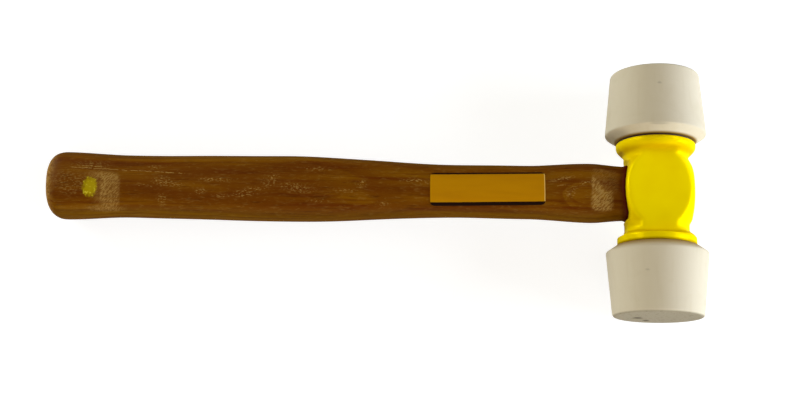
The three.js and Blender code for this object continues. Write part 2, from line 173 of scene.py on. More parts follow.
def oval(
    x: np.ndarray, half_height: np.ndarray, half_width: np.ndarray, squareness: float, sides: int
) -> np.ndarray:
    """Rings of soft rectangles across X.

    Args:
        x: Place of each ring.
        half_height: Half size of each ring along Y.
        half_width: Half size of each ring along Z.
        squareness: 2 is an ellipse, more is squarer.
        sides: Points in a ring.

    Returns:
        Array of rings, points and coordinates.
    """
    angle = around(sides)
    across = np.sign(np.cos(angle)) * np.abs(np.cos(angle)) ** (2 / squareness)
    up = np.sign(np.sin(angle)) * np.abs(np.sin(angle)) ** (2 / squareness)
    along = np.repeat(np.atleast_1d(x)[:, None], sides, axis=1)
    return np.stack([along, np.outer(half_height, across), np.outer(half_width, up)], axis=2)


def rounded(corners: Sequence[tuple[float, ...]], step: float) -> np.ndarray:
    """Outline through corners, each rounded by its own reach.

    Args:
        corners: Radius, height and, where the corner is round, the reach of the rounding.
        step: Longest stretch between two points.

    Returns:
        Radius and height of each point.
    """
    places = [np.array(corner[:2], float) for corner in corners]
    points = []
    for i, corner in enumerate(corners):
        here = places[i]
        reach = corner[2] if len(corner) > 2 else 0.0
        if reach == 0.0:
            points.append(here)
            continue
        back, ahead = places[i - 1] - here, places[(i + 1) % len(places)] - here
        start = here + back / np.linalg.norm(back) * reach
        end = here + ahead / np.linalg.norm(ahead) * reach
        for share in np.linspace(0, 1, 9):
            points.append(start * (1 - share) ** 2 + here * 2 * share * (1 - share) + end * share**2)
    filled = [points[0]]
    for here in points[1:]:
        pieces = max(math.ceil(np.linalg.norm(here - filled[-1]) / step), 1)
        filled += [filled[-1] + (here - filled[-1]) * share for share in np.linspace(0, 1, pieces + 1)[1:]]
    return np.array(filled)


def turned(outline: np.ndarray, sides: int) -> np.ndarray:
    """Rings about Y.

    Args:
        outline: Radius and height of each ring.
        sides: Points in a ring.

    Returns:
        Array of rings, points and coordinates.
    """
    angle = around(sides)
    radius, height = outline.T
    up = np.repeat(height[:, None], sides, axis=1)
    return np.stack([np.outer(radius, np.sin(angle)), up, np.outer(radius, np.cos(angle))], axis=2)


def skinned(name: str, rings: np.ndarray, start: Triple | None = None, end: Triple | None = None) -> Piece:
    """Closed mesh through rings, in millimetres.

    Args:
        name: Name of the new object.
        rings: Array of rings, points and coordinates.
        start: Point that closes the first ring, or None to join the last ring to the first.
        end: Point that closes the last ring.

    Returns:
        The new object, linked to the scene, with its faces pointing out.
    """
    count, sides, _ = rings.shape
    points = rings.reshape(-1, 3).tolist()
    wrap = count if start is None else count - 1
    faces = []
    for ring in range(wrap):
        here, ahead = ring * sides, (ring + 1) % count * sides
        for side in range(sides):
            beside = (side + 1) % sides
            faces.append((here + side, here + beside, ahead + beside, ahead + side))
    if start is not None:
        last = (count - 1) * sides
        points += [list(start), list(end)]
        for side in range(sides):
            beside = (side + 1) % sides
            faces.append((len(points) - 2, beside, side))
            faces.append((len(points) - 1, last + side, last + beside))
    mesh = bpy.data.meshes.new(name)
    mesh.from_pydata(points, [], faces)
    return linked(name, cleaned(mesh))


def cleaned(mesh: Mesh) -> Mesh:
    """Merges doubled points, drops empty faces and turns the faces outwards.

    Args:
        mesh: Mesh to clean.

    Returns:
        The same mesh.
    """
    work = bmesh.new()
    work.from_mesh(mesh)
    bmesh.ops.remove_doubles(work, verts=work.verts, dist=MERGE_DISTANCE)
    bmesh.ops.dissolve_degenerate(work, edges=work.edges, dist=EMPTY_DISTANCE)
    bmesh.ops.recalc_face_normals(work, faces=work.faces)
    work.to_mesh(mesh)
    work.free()
    return mesh


def linked(name: str, data: Mesh | bpy.types.Light | bpy.types.Camera) -> Piece:
    """New object in the scene.

    Args:
        name: Name of the object.
        data: Mesh, light or camera that it shows.

    Returns:
        The object.
    """
    made = bpy.data.objects.new(name, data)
    bpy.context.scene.collection.objects.link(made)
    return made


def plain_mesh(piece: Piece) -> None:
    """Bakes a piece's modifiers into its mesh and removes them.

    Args:
        piece: Piece with modifiers.
    """
    bpy.context.view_layer.update()
    graph = bpy.context.evaluated_depsgraph_get()
    made = bpy.data.meshes.new_from_object(piece.evaluated_get(graph))
    piece.modifiers.clear()
    piece.data = made


def cut(piece: Piece, *cutters: Piece) -> None:
    """Takes cutters out of a piece and removes them.

    Args:
        piece: Piece that is cut.
        cutters: Closed solids.
    """
    for cutter in cutters:
        modifier = piece.modifiers.new(cutter.name, "BOOLEAN")
        modifier.operation = "DIFFERENCE"
        modifier.solver = "EXACT"
        modifier.object = cutter
    plain_mesh(piece)
    for cutter in cutters:
        bpy.data.objects.remove(cutter)


def shaded(mesh: Mesh, angle: float) -> None:
    """Smooth shading with sharp edges.

    Args:
        mesh: Mesh to shade.
        angle: Degrees between two faces from which their edge is sharp.
    """
    work = bmesh.new()
    work.from_mesh(mesh)
    for face in work.faces:
        face.smooth = True
    for edge in work.edges:
        edge.smooth = edge.calc_face_angle(0.0) < math.radians(angle)
    work.to_mesh(mesh)
    work.free()


def points_of(mesh: Mesh, what: str = "co") -> np.ndarray:
    """Vectors of a mesh's points.

    Args:
        mesh: Mesh to read.
        what: Name of the vector, such as co for the place or normal.

    Returns:
        One row for each point.
    """
    flat = np.zeros(len(mesh.vertices) * 3)
    mesh.vertices.foreach_get(what, flat)
    return flat.reshape(-1, 3)


def store(mesh: Mesh, name: str, values: np.ndarray) -> None:
    """Keeps one number per point under a name that materials read."""
    attribute = mesh.attributes.new(name, "FLOAT", "POINT")
    attribute.data.foreach_set("value", np.asarray(values, np.float32))


def settle(piece: Piece, lie: Lie, body: str, slot: Slot, material: Material, *nodes: str) -> None:
    """Lays a finished piece down, dresses it and ties it to its body.

    Args:
        piece: Piece in millimetres of the mallet's own frame.
        lie: How the mallet lies.
        body: Body that the piece rides on.
        slot: Material slot of the record; not used.
        material: Finish of the piece.
        nodes: CAD nodes that the piece stands for.
    """
    piece.data.transform(lie.matrix)
    piece.data.materials.clear()
    piece.data.materials.append(material)
    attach(piece, body)
    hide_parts(*nodes)
    LOG.info("%s: %d faces on %s", piece.name, len(piece.data.polygons), body)


# Node trees

def linear(red: float, green: float, blue: float) -> Colour:
    """Linear colour from the 0 to 255 values that a screen shows."""
    shares = (red / 255, green / 255, blue / 255)
    return tuple(s / 12.92 if s <= 0.04045 else ((s + 0.055) / 1.055) ** 2.4 for s in shares)


class Wire:
    """Output of a node, with the sums that can be done on it."""

    def __init__(self, nodes: "Nodes", socket: Socket) -> None:
        """Keeps the socket and the tree that it belongs to."""
        self.nodes = nodes
        self.socket = socket

    def __add__(self, other: "Feed") -> "Wire":
        """Sum of two numbers."""
        return self.nodes.math("ADD", self, other)

    __radd__ = __add__

    def __sub__(self, other: "Feed") -> "Wire":
        """Difference of two numbers."""
        return self.nodes.math("SUBTRACT", self, other)

    def __rsub__(self, other: "Feed") -> "Wire":
        """Difference of a plain number and this one."""
        return self.nodes.math("SUBTRACT", other, self)

    def __mul__(self, other: "Feed") -> "Wire":
        """Product of two numbers."""
        return self.nodes.math("MULTIPLY", self, other)

    def __truediv__(self, other: "Feed") -> "Wire":
        """Quotient of two numbers."""
        return self.nodes.math("DIVIDE", self, other)

    def step(self, low: float, high: float) -> "Wire":
        """Smooth step from 0 at low to 1 at high."""
        feeds = {"Value": self, "From Min": low, "From Max": high}
        return self.nodes.wire("ShaderNodeMapRange", feeds, interpolation_type="SMOOTHSTEP")

    def spread(self, low: float, high: float) -> "Wire":
        """Range from low to high for a value from 0 to 1."""
        return self.nodes.wire("ShaderNodeMapRange", {"Value": self, "To Min": low, "To Max": high})


Feed = Wire | Socket | Sequence[float] | str | float | None
Feeds = dict[str | int, Feed]


class Nodes:
    """Adds linked nodes to one node tree."""

    def __init__(self, tree: bpy.types.NodeTree) -> None:
        """Keeps the tree that nodes are added to."""
        self.tree = tree

    def feed(self, socket: Socket, value: Feed) -> None:
        """Links or sets one input.

        Args:
            socket: The input.
            value: What feeds it, or None to leave it as it is. A colour of three numbers is opaque.
        """
        source = value.socket if isinstance(value, Wire) else value
        if isinstance(source, Socket):
            self.tree.links.new(source, socket)
        elif source is not None:
            held = socket.default_value
            wide = hasattr(held, "__len__") and len(held) == 4 and len(source) == 3
            socket.default_value = (*source, 1.0) if wide else source

    def add(self, kind: str, feeds: Feeds, **settings: object) -> bpy.types.Node:
        """Adds a node.

        Args:
            kind: Type name of the node.
            feeds: Values or outputs for its inputs, by name or number.
            settings: Properties of the node.

        Returns:
            The new node.
        """
        node = self.tree.nodes.new(kind)
        for name, value in settings.items():
            setattr(node, name, value)
        for key, value in feeds.items():
            self.feed(node.inputs[key], value)
        return node

    def wire(self, kind: str, feeds: Feeds, output: str | int = 0, **settings: object) -> Wire:
        """One output of a new node, by its name or number."""
        return Wire(self, self.add(kind, feeds, **settings).outputs[output])

    def wires(self, kind: str, feeds: Feeds) -> list[Wire]:
        """All outputs of a new node."""
        return [Wire(self, output) for output in self.add(kind, feeds).outputs]

    def math(self, operation: str, *values: Feed) -> Wire:
        """Result of a sum on numbers."""
        return self.wire("ShaderNodeMath", dict(enumerate(values)), operation=operation)

    def vector(self, operation: str, *values: Feed, output: str | int = 0) -> Wire:
        """Result of a sum on vectors."""
        return self.wire("ShaderNodeVectorMath", dict(enumerate(values)), output, operation=operation)

    def split(self, vector: Feed) -> list[Wire]:
        """X, Y and Z of a vector."""
        return self.wires("ShaderNodeSeparateXYZ", {0: vector})

    def join(self, *numbers: Feed) -> Wire:
        """Vector from its three numbers."""
        return self.wire("ShaderNodeCombineXYZ", dict(enumerate(numbers)))


class Shading(Nodes):
    """Node tree of one surface, with places in millimetres of the mallet's own frame."""

    def __init__(self, name: str, lie: Lie, colour: Colour) -> None:
        """Makes the material and finds the mallet's own frame in it.

        Args:
            name: Name of the material.
            lie: How the mallet lies.
            colour: Colour that the others are laid over.
        """
        self.material = bpy.data.materials.new(name)
        self.material.use_nodes = True
        super().__init__(self.material.node_tree)
        self.shader = self.tree.nodes["Principled BSDF"]
        self.colour = colour
        back = Matrix.Rotation(lie.slope, 4, "Y") @ lie.centre / -MM
        where = self.wire("ShaderNodeTexCoord", {}, "Object")
        feeds = {"Vector": where, "Location": back, "Rotation": (0, lie.slope, 0), "Scale": (1 / MM,) * 3}
        self.place = self.wire("ShaderNodeMapping", feeds)

    def noise_at(self, where: Wire, detail: float, distortion: float = 0.0) -> Wire:
        """Noise from 0 to 1 at places, with a number of finer layers and a swirl."""
        feeds = {"Vector": where, "Scale": 1.0, "Detail": detail, "Distortion": distortion}
        return self.wire("ShaderNodeTexNoise", feeds)

    def noise(self, stretch: Triple, detail: float = 2.0, distortion: float = 0.0) -> Wire:
        """Noise over the piece, with a stretch in waves per millimetre along X, Y and Z."""
        return self.noise_at(self.vector("MULTIPLY", self.place, stretch), detail, distortion)

    def kept(self, name: str) -> Wire:
        """Number that the mesh keeps under a name."""
        return self.wire("ShaderNodeAttribute", {}, "Fac", attribute_name=name)

    def mix(self, share: Feed, one: Feed, other: Feed) -> Wire:
        """Mix of two colours."""
        return self.wire("ShaderNodeMix", {0: share, 6: one, 7: other}, 2, data_type="RGBA")

    def lay(self, share: Feed, colour: Feed) -> None:
        """Covers a share of the surface with a colour."""
        self.colour = self.mix(share, self.colour, colour)

    def bump(self, height: Feed, depth: float, under: Feed = None) -> Wire:
        """Normal from a height of 0 to 1.

        Args:
            height: Height over the surface.
            depth: Height of 1 in millimetres.
            under: Normal that this one adds to.

        Returns:
            The normal.
        """
        feeds = {"Height": height, "Distance": depth * MM, "Normal": under}
        return self.wire("ShaderNodeBump", feeds)

    def dress(self, **feeds: Feed) -> Material:
        """Feeds the shader.

        Args:
            feeds: Inputs of the shader beside its colour, with _ for a space in a name.

        Returns:
            The finished material.
        """
        for name, value in {"Base_Color": self.colour, **feeds}.items():
            self.feed(self.shader.inputs[name.replace("_", " ")], value)
        return self.material


# Finishes

@dataclass(frozen=True)
class HickoryFinish:
    """Brown varnished hickory: long grain, scuffs, scratches, a dab of paint, painted sheen and shadow.

    A scratch is a line on the upper side, given as X and Y of its start and of its end. The shares say how
    much of the wood each colour or mark covers at most.
    """

    golden: Colour = linear(127, 80, 3)
    brown: Colour = linear(107, 59, 2)
    red: Colour = linear(91, 38, 1)
    olive_sheen: Colour = linear(94, 70, 5)
    head_shadow_red: Colour = linear(70, 10, 1)
    pore: Colour = linear(60, 26, 2)
    bare: Colour = linear(178, 142, 78)
    paint: Colour = linear(178, 158, 8)
    fleck: Colour = linear(224, 212, 60)
    heart: tuple[float, float] = (6.0, -64.0)
    ring_width: float = 2.6
    wander: float = 6.0
    figure_rise: float = 3.4
    ring_share: float = 0.42
    streak_share: float = 0.75
    grit_share: float = 0.15
    side_sheen_share: float = 0.45
    line_share: float = 0.35
    pore_share: float = 0.5
    wear_share: float = 0.8
    paint_share: float = 0.85
    scratch_share: float = 0.7
    scratch_fade: float = 1.5
    scratches: tuple[tuple[float, float, float, float], ...] = (
        (-302.0, 7.2, -247.0, 5.0),
        (-296.0, 8.4, -283.0, 7.6),
        (-252.0, 5.0, -240.0, 4.6),
        (-265.5, -2.6, -260.6, -1.4),
        (-260.6, -1.4, -256.5, -3.2),
        (-54.0, 3.6, -41.0, 6.3),
        (-52.0, 1.0, -44.0, 2.0),
    )

    def rings(self, shading: Shading) -> Wire:
        """Growth rings about the heart of the tree.

        Args:
            shading: Node tree of the handle.

        Returns:
            1 in the dark late wood and 0 in the early wood.
        """
        wander = shading.noise((0.011, 0.05, 0.05)) * self.wander
        _, y, z = shading.split(shading.place)
        flat = shading.join(0.0, y - self.heart[0], z - self.heart[1])
        radius = shading.vector("LENGTH", flat, output="Value") + wander
        figure = shading.kept("figure") * self.figure_rise
        phase = shading.math("FRACT", (radius + figure) / self.ring_width)
        return phase.step(0.2, 0.85) * (1.0 - phase.step(0.88, 1.0))

    def grain(self, shading: Shading) -> None:
        """Lays the colours of the varnished wood.

        Args:
            shading: Node tree of the handle, with the golden wood in it.
        """
        tone = shading.noise((0.009, 0.11, 0.11)).step(0.36, 0.64)
        streak = shading.noise((0.016, 0.42, 0.42), 3.0).step(0.48, 0.72)
        line = shading.noise((0.012, 1.3, 1.3)).step(0.6, 0.7)
        grit = shading.noise((0.3, 1.1, 1.1), 4.0, 0.7).step(0.5, 0.74)
        shading.lay(tone, self.brown)
        shading.lay(self.rings(shading) * self.ring_share, self.red)
        shading.lay(streak * self.streak_share, self.red)
        shading.lay(grit * self.grit_share, self.bare)
        # Painted sheen: the narrow sides are laid olive, as grazing light lifts them.
        shading.lay(shading.kept("side") * self.side_sheen_share, self.olive_sheen)
        shading.lay(line * self.line_share, self.pore)

    def scratch(self, shading: Shading) -> Wire:
        """Thin broken lines on the upper side.

        Args:
            shading: Node tree of the handle.

        Returns:
            Depth of the scratches from 0 to 1.
        """
        x, y, z = shading.split(shading.place)
        wobble = shading.noise((0.3, 0.0, 0.0), 3.0).spread(-1.0, 1.0)
        broken = shading.noise((0.5, 0.2, 0.2)).step(0.4, 0.54)
        lines = []
        for x0, y0, x1, y1 in self.scratches:
            line = (x - x0) * ((y1 - y0) / (x1 - x0)) + y0 + wobble
            away = shading.math("ABSOLUTE", y - line)
            near = shading.math("MAXIMUM", self.scratch_share - away.step(0.06, 0.3), 0.0)
            begun = x.step(x0, x0 + self.scratch_fade)
            left = 1.0 - x.step(x1 - self.scratch_fade, x1)
            lines.append(near * (begun * left))
        return sum(lines) * (broken * z.step(0.0, 1.0))

    def wear(self, shading: Shading) -> Wire:
        """Places where the varnish is scraped to bare wood.

        Args:
            shading: Node tree of the handle.

        Returns:
            Share of bare wood.
        """
        scuffs = shading.noise((0.75, 1.9, 1.9), 3.0).step(0.49, 0.7) * shading.kept("scuff")
        rubbed = shading.noise((0.8, 0.8, 0.8), 4.0, 0.7).step(0.42, 0.6)
        worn = rubbed.spread(0.3, 1.0) * shading.kept("rim")
        x, y, z = shading.split(shading.place)
        weave = shading.noise_at(shading.join((x + y) * 0.4, (y - x) * 1.4, z), 3.0)
        frays = weave.step(0.43, 0.58).spread(0.25, 1.0) * shading.kept("fray")
        return shading.math("MINIMUM", scuffs + worn + frays + self.scratch(shading), self.wear_share)

    def build(self, lie: Lie) -> Material:
        """Makes the material.

        Args:
            lie: How the mallet lies.

        Returns:
            The finish of the handle.
        """
        shading = Shading("varnished_hickory", lie, self.golden)
        self.grain(shading)
        fibre = shading.noise((0.02, 0.75, 0.75), 4.0)
        pores = shading.noise((0.08, 2.2, 2.2)).step(0.6, 0.72)
        spots = shading.noise((0.75, 0.75, 0.75), 3.0)
        dab = (shading.kept("paint") + spots).step(0.75, 1.25)
        wear = self.wear(shading)
        shading.lay(pores * self.pore_share, self.pore)
        shading.lay(wear, self.bare)
        # Painted shadow: a dark red band where the handle enters the head, in place of the shade the head
        # casts.
        shading.lay(shading.kept("soak"), self.head_shadow_red)
        shading.lay(dab * self.paint_share, shading.mix(spots.step(0.58, 0.7), self.paint, self.fleck))
        return shading.dress(
            Roughness=wear.spread(0.42, 0.8),
            Normal=shading.bump(fibre * 0.4 - (pores + wear), 0.08),
            Specular_IOR_Level=0.0,
            Coat_Weight=0.06,
            Coat_Roughness=0.4,
        )


@dataclass(frozen=True)
class EnamelFinish:
    """Thick yellow enamel, slightly lumpy, with painted ochre shade in its creases and grime with painted
    shade at its seams.
    """

    yellow: Colour = linear(255, 231, 0)
    amber: Colour = linear(249, 221, 0)
    shade_ochre: Colour = linear(204, 162, 0)
    dirt: Colour = linear(112, 70, 3)

    def build(self, lie: Lie) -> Material:
        """Makes the material.

        Args:
            lie: How the mallet lies.

        Returns:
            The finish of the head.
        """
        shading = Shading("yellow_enamel", lie, self.yellow)
        pool = shading.noise((0.06, 0.06, 0.06))
        peel = shading.noise((0.9, 0.9, 0.9))
        shading.lay(pool.step(0.3, 0.8), self.amber)
        # Painted shade, laid ochre: creases, the washer seat, the flank beside the handle and the upper
        # collar.
        shading.lay(shading.kept("painted_shade"), self.shade_ochre)
        # Grime mixed with painted shade at the washer seat and round the mouth of the eye.
        shading.lay(shading.kept("seam") * peel.spread(0.5, 1.0), self.dirt)
        return shading.dress(
            Metallic=0.05,
            Roughness=pool.spread(0.12, 0.18),
            Normal=shading.bump(peel, 0.012, shading.bump(pool, 0.3)),
            Specular_IOR_Level=0.0,
        )


@dataclass(frozen=True)
class RubberFinish:
    """Pale matte moulded rubber, faint smudges, dirty nicks, grimy striking faces, painted shade by the
    seat.
    """

    pale: Colour = linear(212, 204, 188)
    smudge: Colour = linear(198, 187, 163)
    struck: Colour = linear(151, 144, 128)
    grit: Colour = linear(116, 107, 88)
    bevel_grime_and_shade: Colour = linear(146, 116, 58)
    dirt: Colour = linear(52, 42, 26)
    cloud_share: float = 0.35
    streak_share: float = 0.2

    def build(self, lie: Lie) -> Material:
        """Makes the material.

        Args:
            lie: How the mallet lies.

        Returns:
            The finish of the tips.
        """
        shading = Shading("pale_rubber", lie, self.pale)
        cloud = shading.noise((0.07, 0.1, 0.07), 4.0, 0.6)
        streak = shading.noise((0.4, 0.02, 0.4))
        grain = shading.noise((2.4, 2.4, 2.4))
        speck = shading.noise((0.9, 0.9, 0.9), 4.0).step(0.55, 0.75)
        smudged = cloud.step(0.5, 0.85) * self.cloud_share + streak.step(0.5, 0.8) * self.streak_share
        shading.lay(smudged, self.smudge)
        shading.lay(shading.kept("struck"), shading.mix(speck, self.struck, self.grit))
        # Grime and painted shade by the seat, tinted as if by yellow bounce light from the collar.
        shading.lay(shading.kept("seat"), self.bevel_grime_and_shade)
        shading.lay(shading.kept("mark"), self.dirt)
        return shading.dress(
            Roughness=grain.spread(0.66, 0.86),
            Normal=shading.bump(grain, 0.02, shading.bump(cloud, 0.15)),
            Specular_IOR_Level=0.15,
        )


@dataclass(frozen=True)
class GrainFinish:
    """Matte material in two tones, whose stretched grain is also a fine relief."""

    name: str
    main: Colour
    other: Colour
    stretch: Triple
    other_from: float
    other_full: float
    roughness: float
    depth: float

    def build(self, lie: Lie) -> Material:
        """Makes the material.

        Args:
            lie: How the mallet lies.

        Returns:
            The finish.
        """
        shading = Shading(self.name, lie, self.main)
        grain = shading.noise(self.stretch, 4.0)
        shading.lay(grain.step(self.other_from, self.other_full), self.other)
        return shading.dress(Roughness=self.roughness, Normal=shading.bump(grain, self.depth))


FIBRE_FINISH = GrainFinish(
    name="dark_fibre",
    main=linear(52, 26, 6),
    other=linear(78, 46, 18),
    stretch=(1.6, 4.0, 1.6),
    other_from=0.4,
    other_full=0.75,
    roughness=0.8,
    depth=0.05,
)
WEDGE_WOOD_FINISH = GrainFinish(
    name="wedge_wood",
    main=linear(188, 150, 98),
    other=linear(142, 100, 56),
    stretch=(0.08, 1.4, 1.4),
    other_from=0.35,
    other_full=0.7,
    roughness=0.7,
    depth=0.06,
)


@dataclass(frozen=True)
class SteelFinish:
    """Turned or sheared steel with fine tool marks and a few dull stains."""

    name: str
    marks: Triple
    bright: Colour = linear(176, 178, 182)
    stain: Colour = linear(112, 104, 96)

    def build(self, lie: Lie) -> Material:
        """Makes the material.

        Args:
            lie: How the mallet lies.

        Returns:
            The finish.
        """
        shading = Shading(self.name, lie, self.bright)
        tool = shading.noise(self.marks, 3.0)
        shading.lay(shading.noise((0.2, 0.2, 0.2), 4.0).step(0.5, 0.8), self.stain)
        return shading.dress(
            Metallic=1.0,
            Roughness=tool.spread(0.24, 0.5),
            Normal=shading.bump(tool, 0.02),
        )


@dataclass(frozen=True)
class LabelFinish:
    """Gold film with a dark stripe along each long edge, their widths in shares of the film."""

    gold: Colour = linear(190, 133, 3)
    worn: Colour = linear(180, 122, 3)
    pale: Colour = linear(220, 182, 96)
    ink: Colour = linear(26, 9, 2)
    upper_stripe: float = 0.052
    lower_stripe: float = 0.1
    border: float = 0.008

    def build(self, lie: Lie) -> Material:
        """Makes the material.

        Args:
            lie: How the mallet lies.

        Returns:
            The finish of the label.
        """
        shading = Shading("gold_label", lie, self.gold)
        cover = shading.wire("ShaderNodeUVMap", {}, uv_map="label_cover")
        along, across, _ = shading.split(cover)
        upper = shading.math("GREATER_THAN", across, 1 - self.upper_stripe)
        lower = shading.math("LESS_THAN", across, self.lower_stripe)
        rub = shading.noise((0.03, 0.16, 0.16), 3.0).step(0.35, 0.75)
        shading.lay(rub, self.worn)
        shading.lay(shading.math("GREATER_THAN", along, 1 - self.border), self.pale)
        shading.lay(shading.math("MAXIMUM", upper, lower), self.ink)
        return shading.dress(
            Roughness=rub.spread(0.34, 0.5),
            Specular_IOR_Level=0.0,
            Coat_Weight=0.08,
            Coat_Roughness=0.35,
        )


# Geometry node trees

SOCKET_TYPES = {
    float: "NodeSocketFloat",
    tuple: "NodeSocketVector",
    Piece: "NodeSocketObject",
    Material: "NodeSocketMaterial",
}


class Grower(Nodes):
    """Geometry node tree that grows one piece from named values."""

    def __init__(self, name: str, values: dict[str, object]) -> None:
        """Makes a tree with one input for each value.

        Args:
            name: Name of the tree.
            values: Value of each input by its name.
        """
        super().__init__(bpy.data.node_groups.new(name, "GeometryNodeTree"))
        self.values = {}
        for label, value in values.items():
            kind = SOCKET_TYPES[type(value)]
            socket = self.tree.interface.new_socket(label, in_out="INPUT", socket_type=kind)
            self.values[socket.identifier] = value
        self.tree.interface.new_socket("Geometry", in_out="OUTPUT", socket_type="NodeSocketGeometry")
        outputs = self.add("NodeGroupInput", {}).outputs
        self.given = {label: Wire(self, outputs[label]) for label in values}

    def grow(self, name: str, shape: Feed) -> Piece:
        """Ends the tree and runs it once.

        Args:
            name: Name of the new object.
            shape: Geometry that the tree ends with.

        Returns:
            Object with a plain mesh.
        """
        real = self.wire("GeometryNodeRealizeInstances", {0: shape})
        dressed = self.wire("GeometryNodeSetMaterial", {0: real, 2: self.given["Material"]})
        self.add("NodeGroupOutput", {0: dressed})
        piece = linked(name, bpy.data.meshes.new(name))
        modifier = piece.modifiers.new(name, "NODES")
        modifier.node_group = self.tree
        for key, value in self.values.items():
            modifier[key] = value
        plain_mesh(piece)
        return piece


def thread(name: str, values: dict[str, object]) -> Piece:
    """Ridge of a right-hand screw thread that climbs along +Z.

    Args:
        name: Name of the new object.
        values: Radius, Pitch, Turns, Depth and Material.

    Returns:
        The ridge.
    """
    grower = Grower("screw_thread", values)
    given = grower.given
    feeds = {
        "Resolution": 48,
        "Rotations": given["Turns"],
        "Start Radius": given["Radius"],
        "End Radius": given["Radius"],
        "Height": given["Pitch"] * given["Turns"],
        "Reverse": True,
    }
    path = grower.wire("GeometryNodeCurveSpiral", feeds)
    path = grower.wire("GeometryNodeSetCurveNormal", {0: path}, mode="Z_UP")
    feeds = {"Resolution": 4, "Radius": given["Depth"]}
    profile = grower.wire("GeometryNodeCurvePrimitiveCircle", feeds)
    feeds = {"Curve": path, "Profile Curve": profile, "Fill Caps": True}
    return grower.grow(name, grower.wire("GeometryNodeCurveToMesh", feeds))


def corner_cut(grower: Grower) -> Wire:
    """Places of a flat sheet whose corners are rounded.

    Args:
        grower: Tree with the sizes of the sheet.

    Returns:
        The new place of each point.
    """
    given = grower.given
    corner = given["Corner"]
    x, y, _ = grower.split(grower.wire("GeometryNodeInputPosition", {}))
    into = grower.math("ABSOLUTE", y) - (given["Width"] / 2.0 - corner)
    share = grower.math("MAXIMUM", into / corner, 0.0)
    left = grower.math("MAXIMUM", 1.0 - share * share, 0.0)
    inset = corner * (1.0 - grower.math("SQRT", left))
    return grower.join(x * (1.0 - inset * 2.0 / given["Length"]), y, 0.0)


def film(name: str, values: dict[str, object]) -> Piece:
    """Thin film with rounded corners that lies on the upper side of a surface.

    Args:
        name: Name of the new object.
        values: Surface, Length, Width, Corner, Centre, Tilt, Lift, Thickness and Material.

    Returns:
        The film.
    """
    grower = Grower("film_on_surface", values)
    given = grower.given
    feeds = {"Size X": given["Length"], "Size Y": given["Width"], "Vertices X": 121, "Vertices Y": 49}
    sheet, cover = grower.wires("GeometryNodeMeshGrid", feeds)
    feeds = {"Geometry": sheet, "Name": "label_cover", "Value": cover}
    sheet = grower.wire("GeometryNodeStoreNamedAttribute", feeds, data_type="FLOAT2", domain="CORNER")
    sheet = grower.wire("GeometryNodeSetPosition", {0: sheet, "Position": corner_cut(grower)})
    spin = grower.join(0.0, 0.0, given["Tilt"])
    feeds = {"Geometry": sheet, "Translation": given["Centre"], "Rotation": spin}
    sheet = grower.wire("GeometryNodeTransform", feeds)
    surface = grower.wire("GeometryNodeObjectInfo", {0: given["Surface"]}, "Geometry")
    feeds = {"Target Geometry": surface, "Ray Direction": (0.0, 0.0, -1.0), "Ray Length": 100.0}
    ray = grower.add("GeometryNodeRaycast", feeds).outputs
    feeds = {0: ray["Hit Normal"], "Scale": given["Lift"]}
    lift = grower.wire("ShaderNodeVectorMath", feeds, operation="SCALE")
    place = grower.vector("ADD", ray["Hit Position"], lift)
    under = grower.wire("GeometryNodeSetPosition", {0: sheet, "Position": place})
    feeds = {"Mesh": under, "Offset Scale": given["Thickness"], "Individual": False}
    over = grower.wire("GeometryNodeExtrudeMesh", feeds)
    both = grower.add("GeometryNodeJoinGeometry", {0: grower.wire("GeometryNodeFlipFaces", {0: under})})
    grower.feed(both.inputs[0], over)
    return grower.grow(name, grower.wire("GeometryNodeMergeByDistance", {0: both.outputs[0]}))


# Sub-assemblies

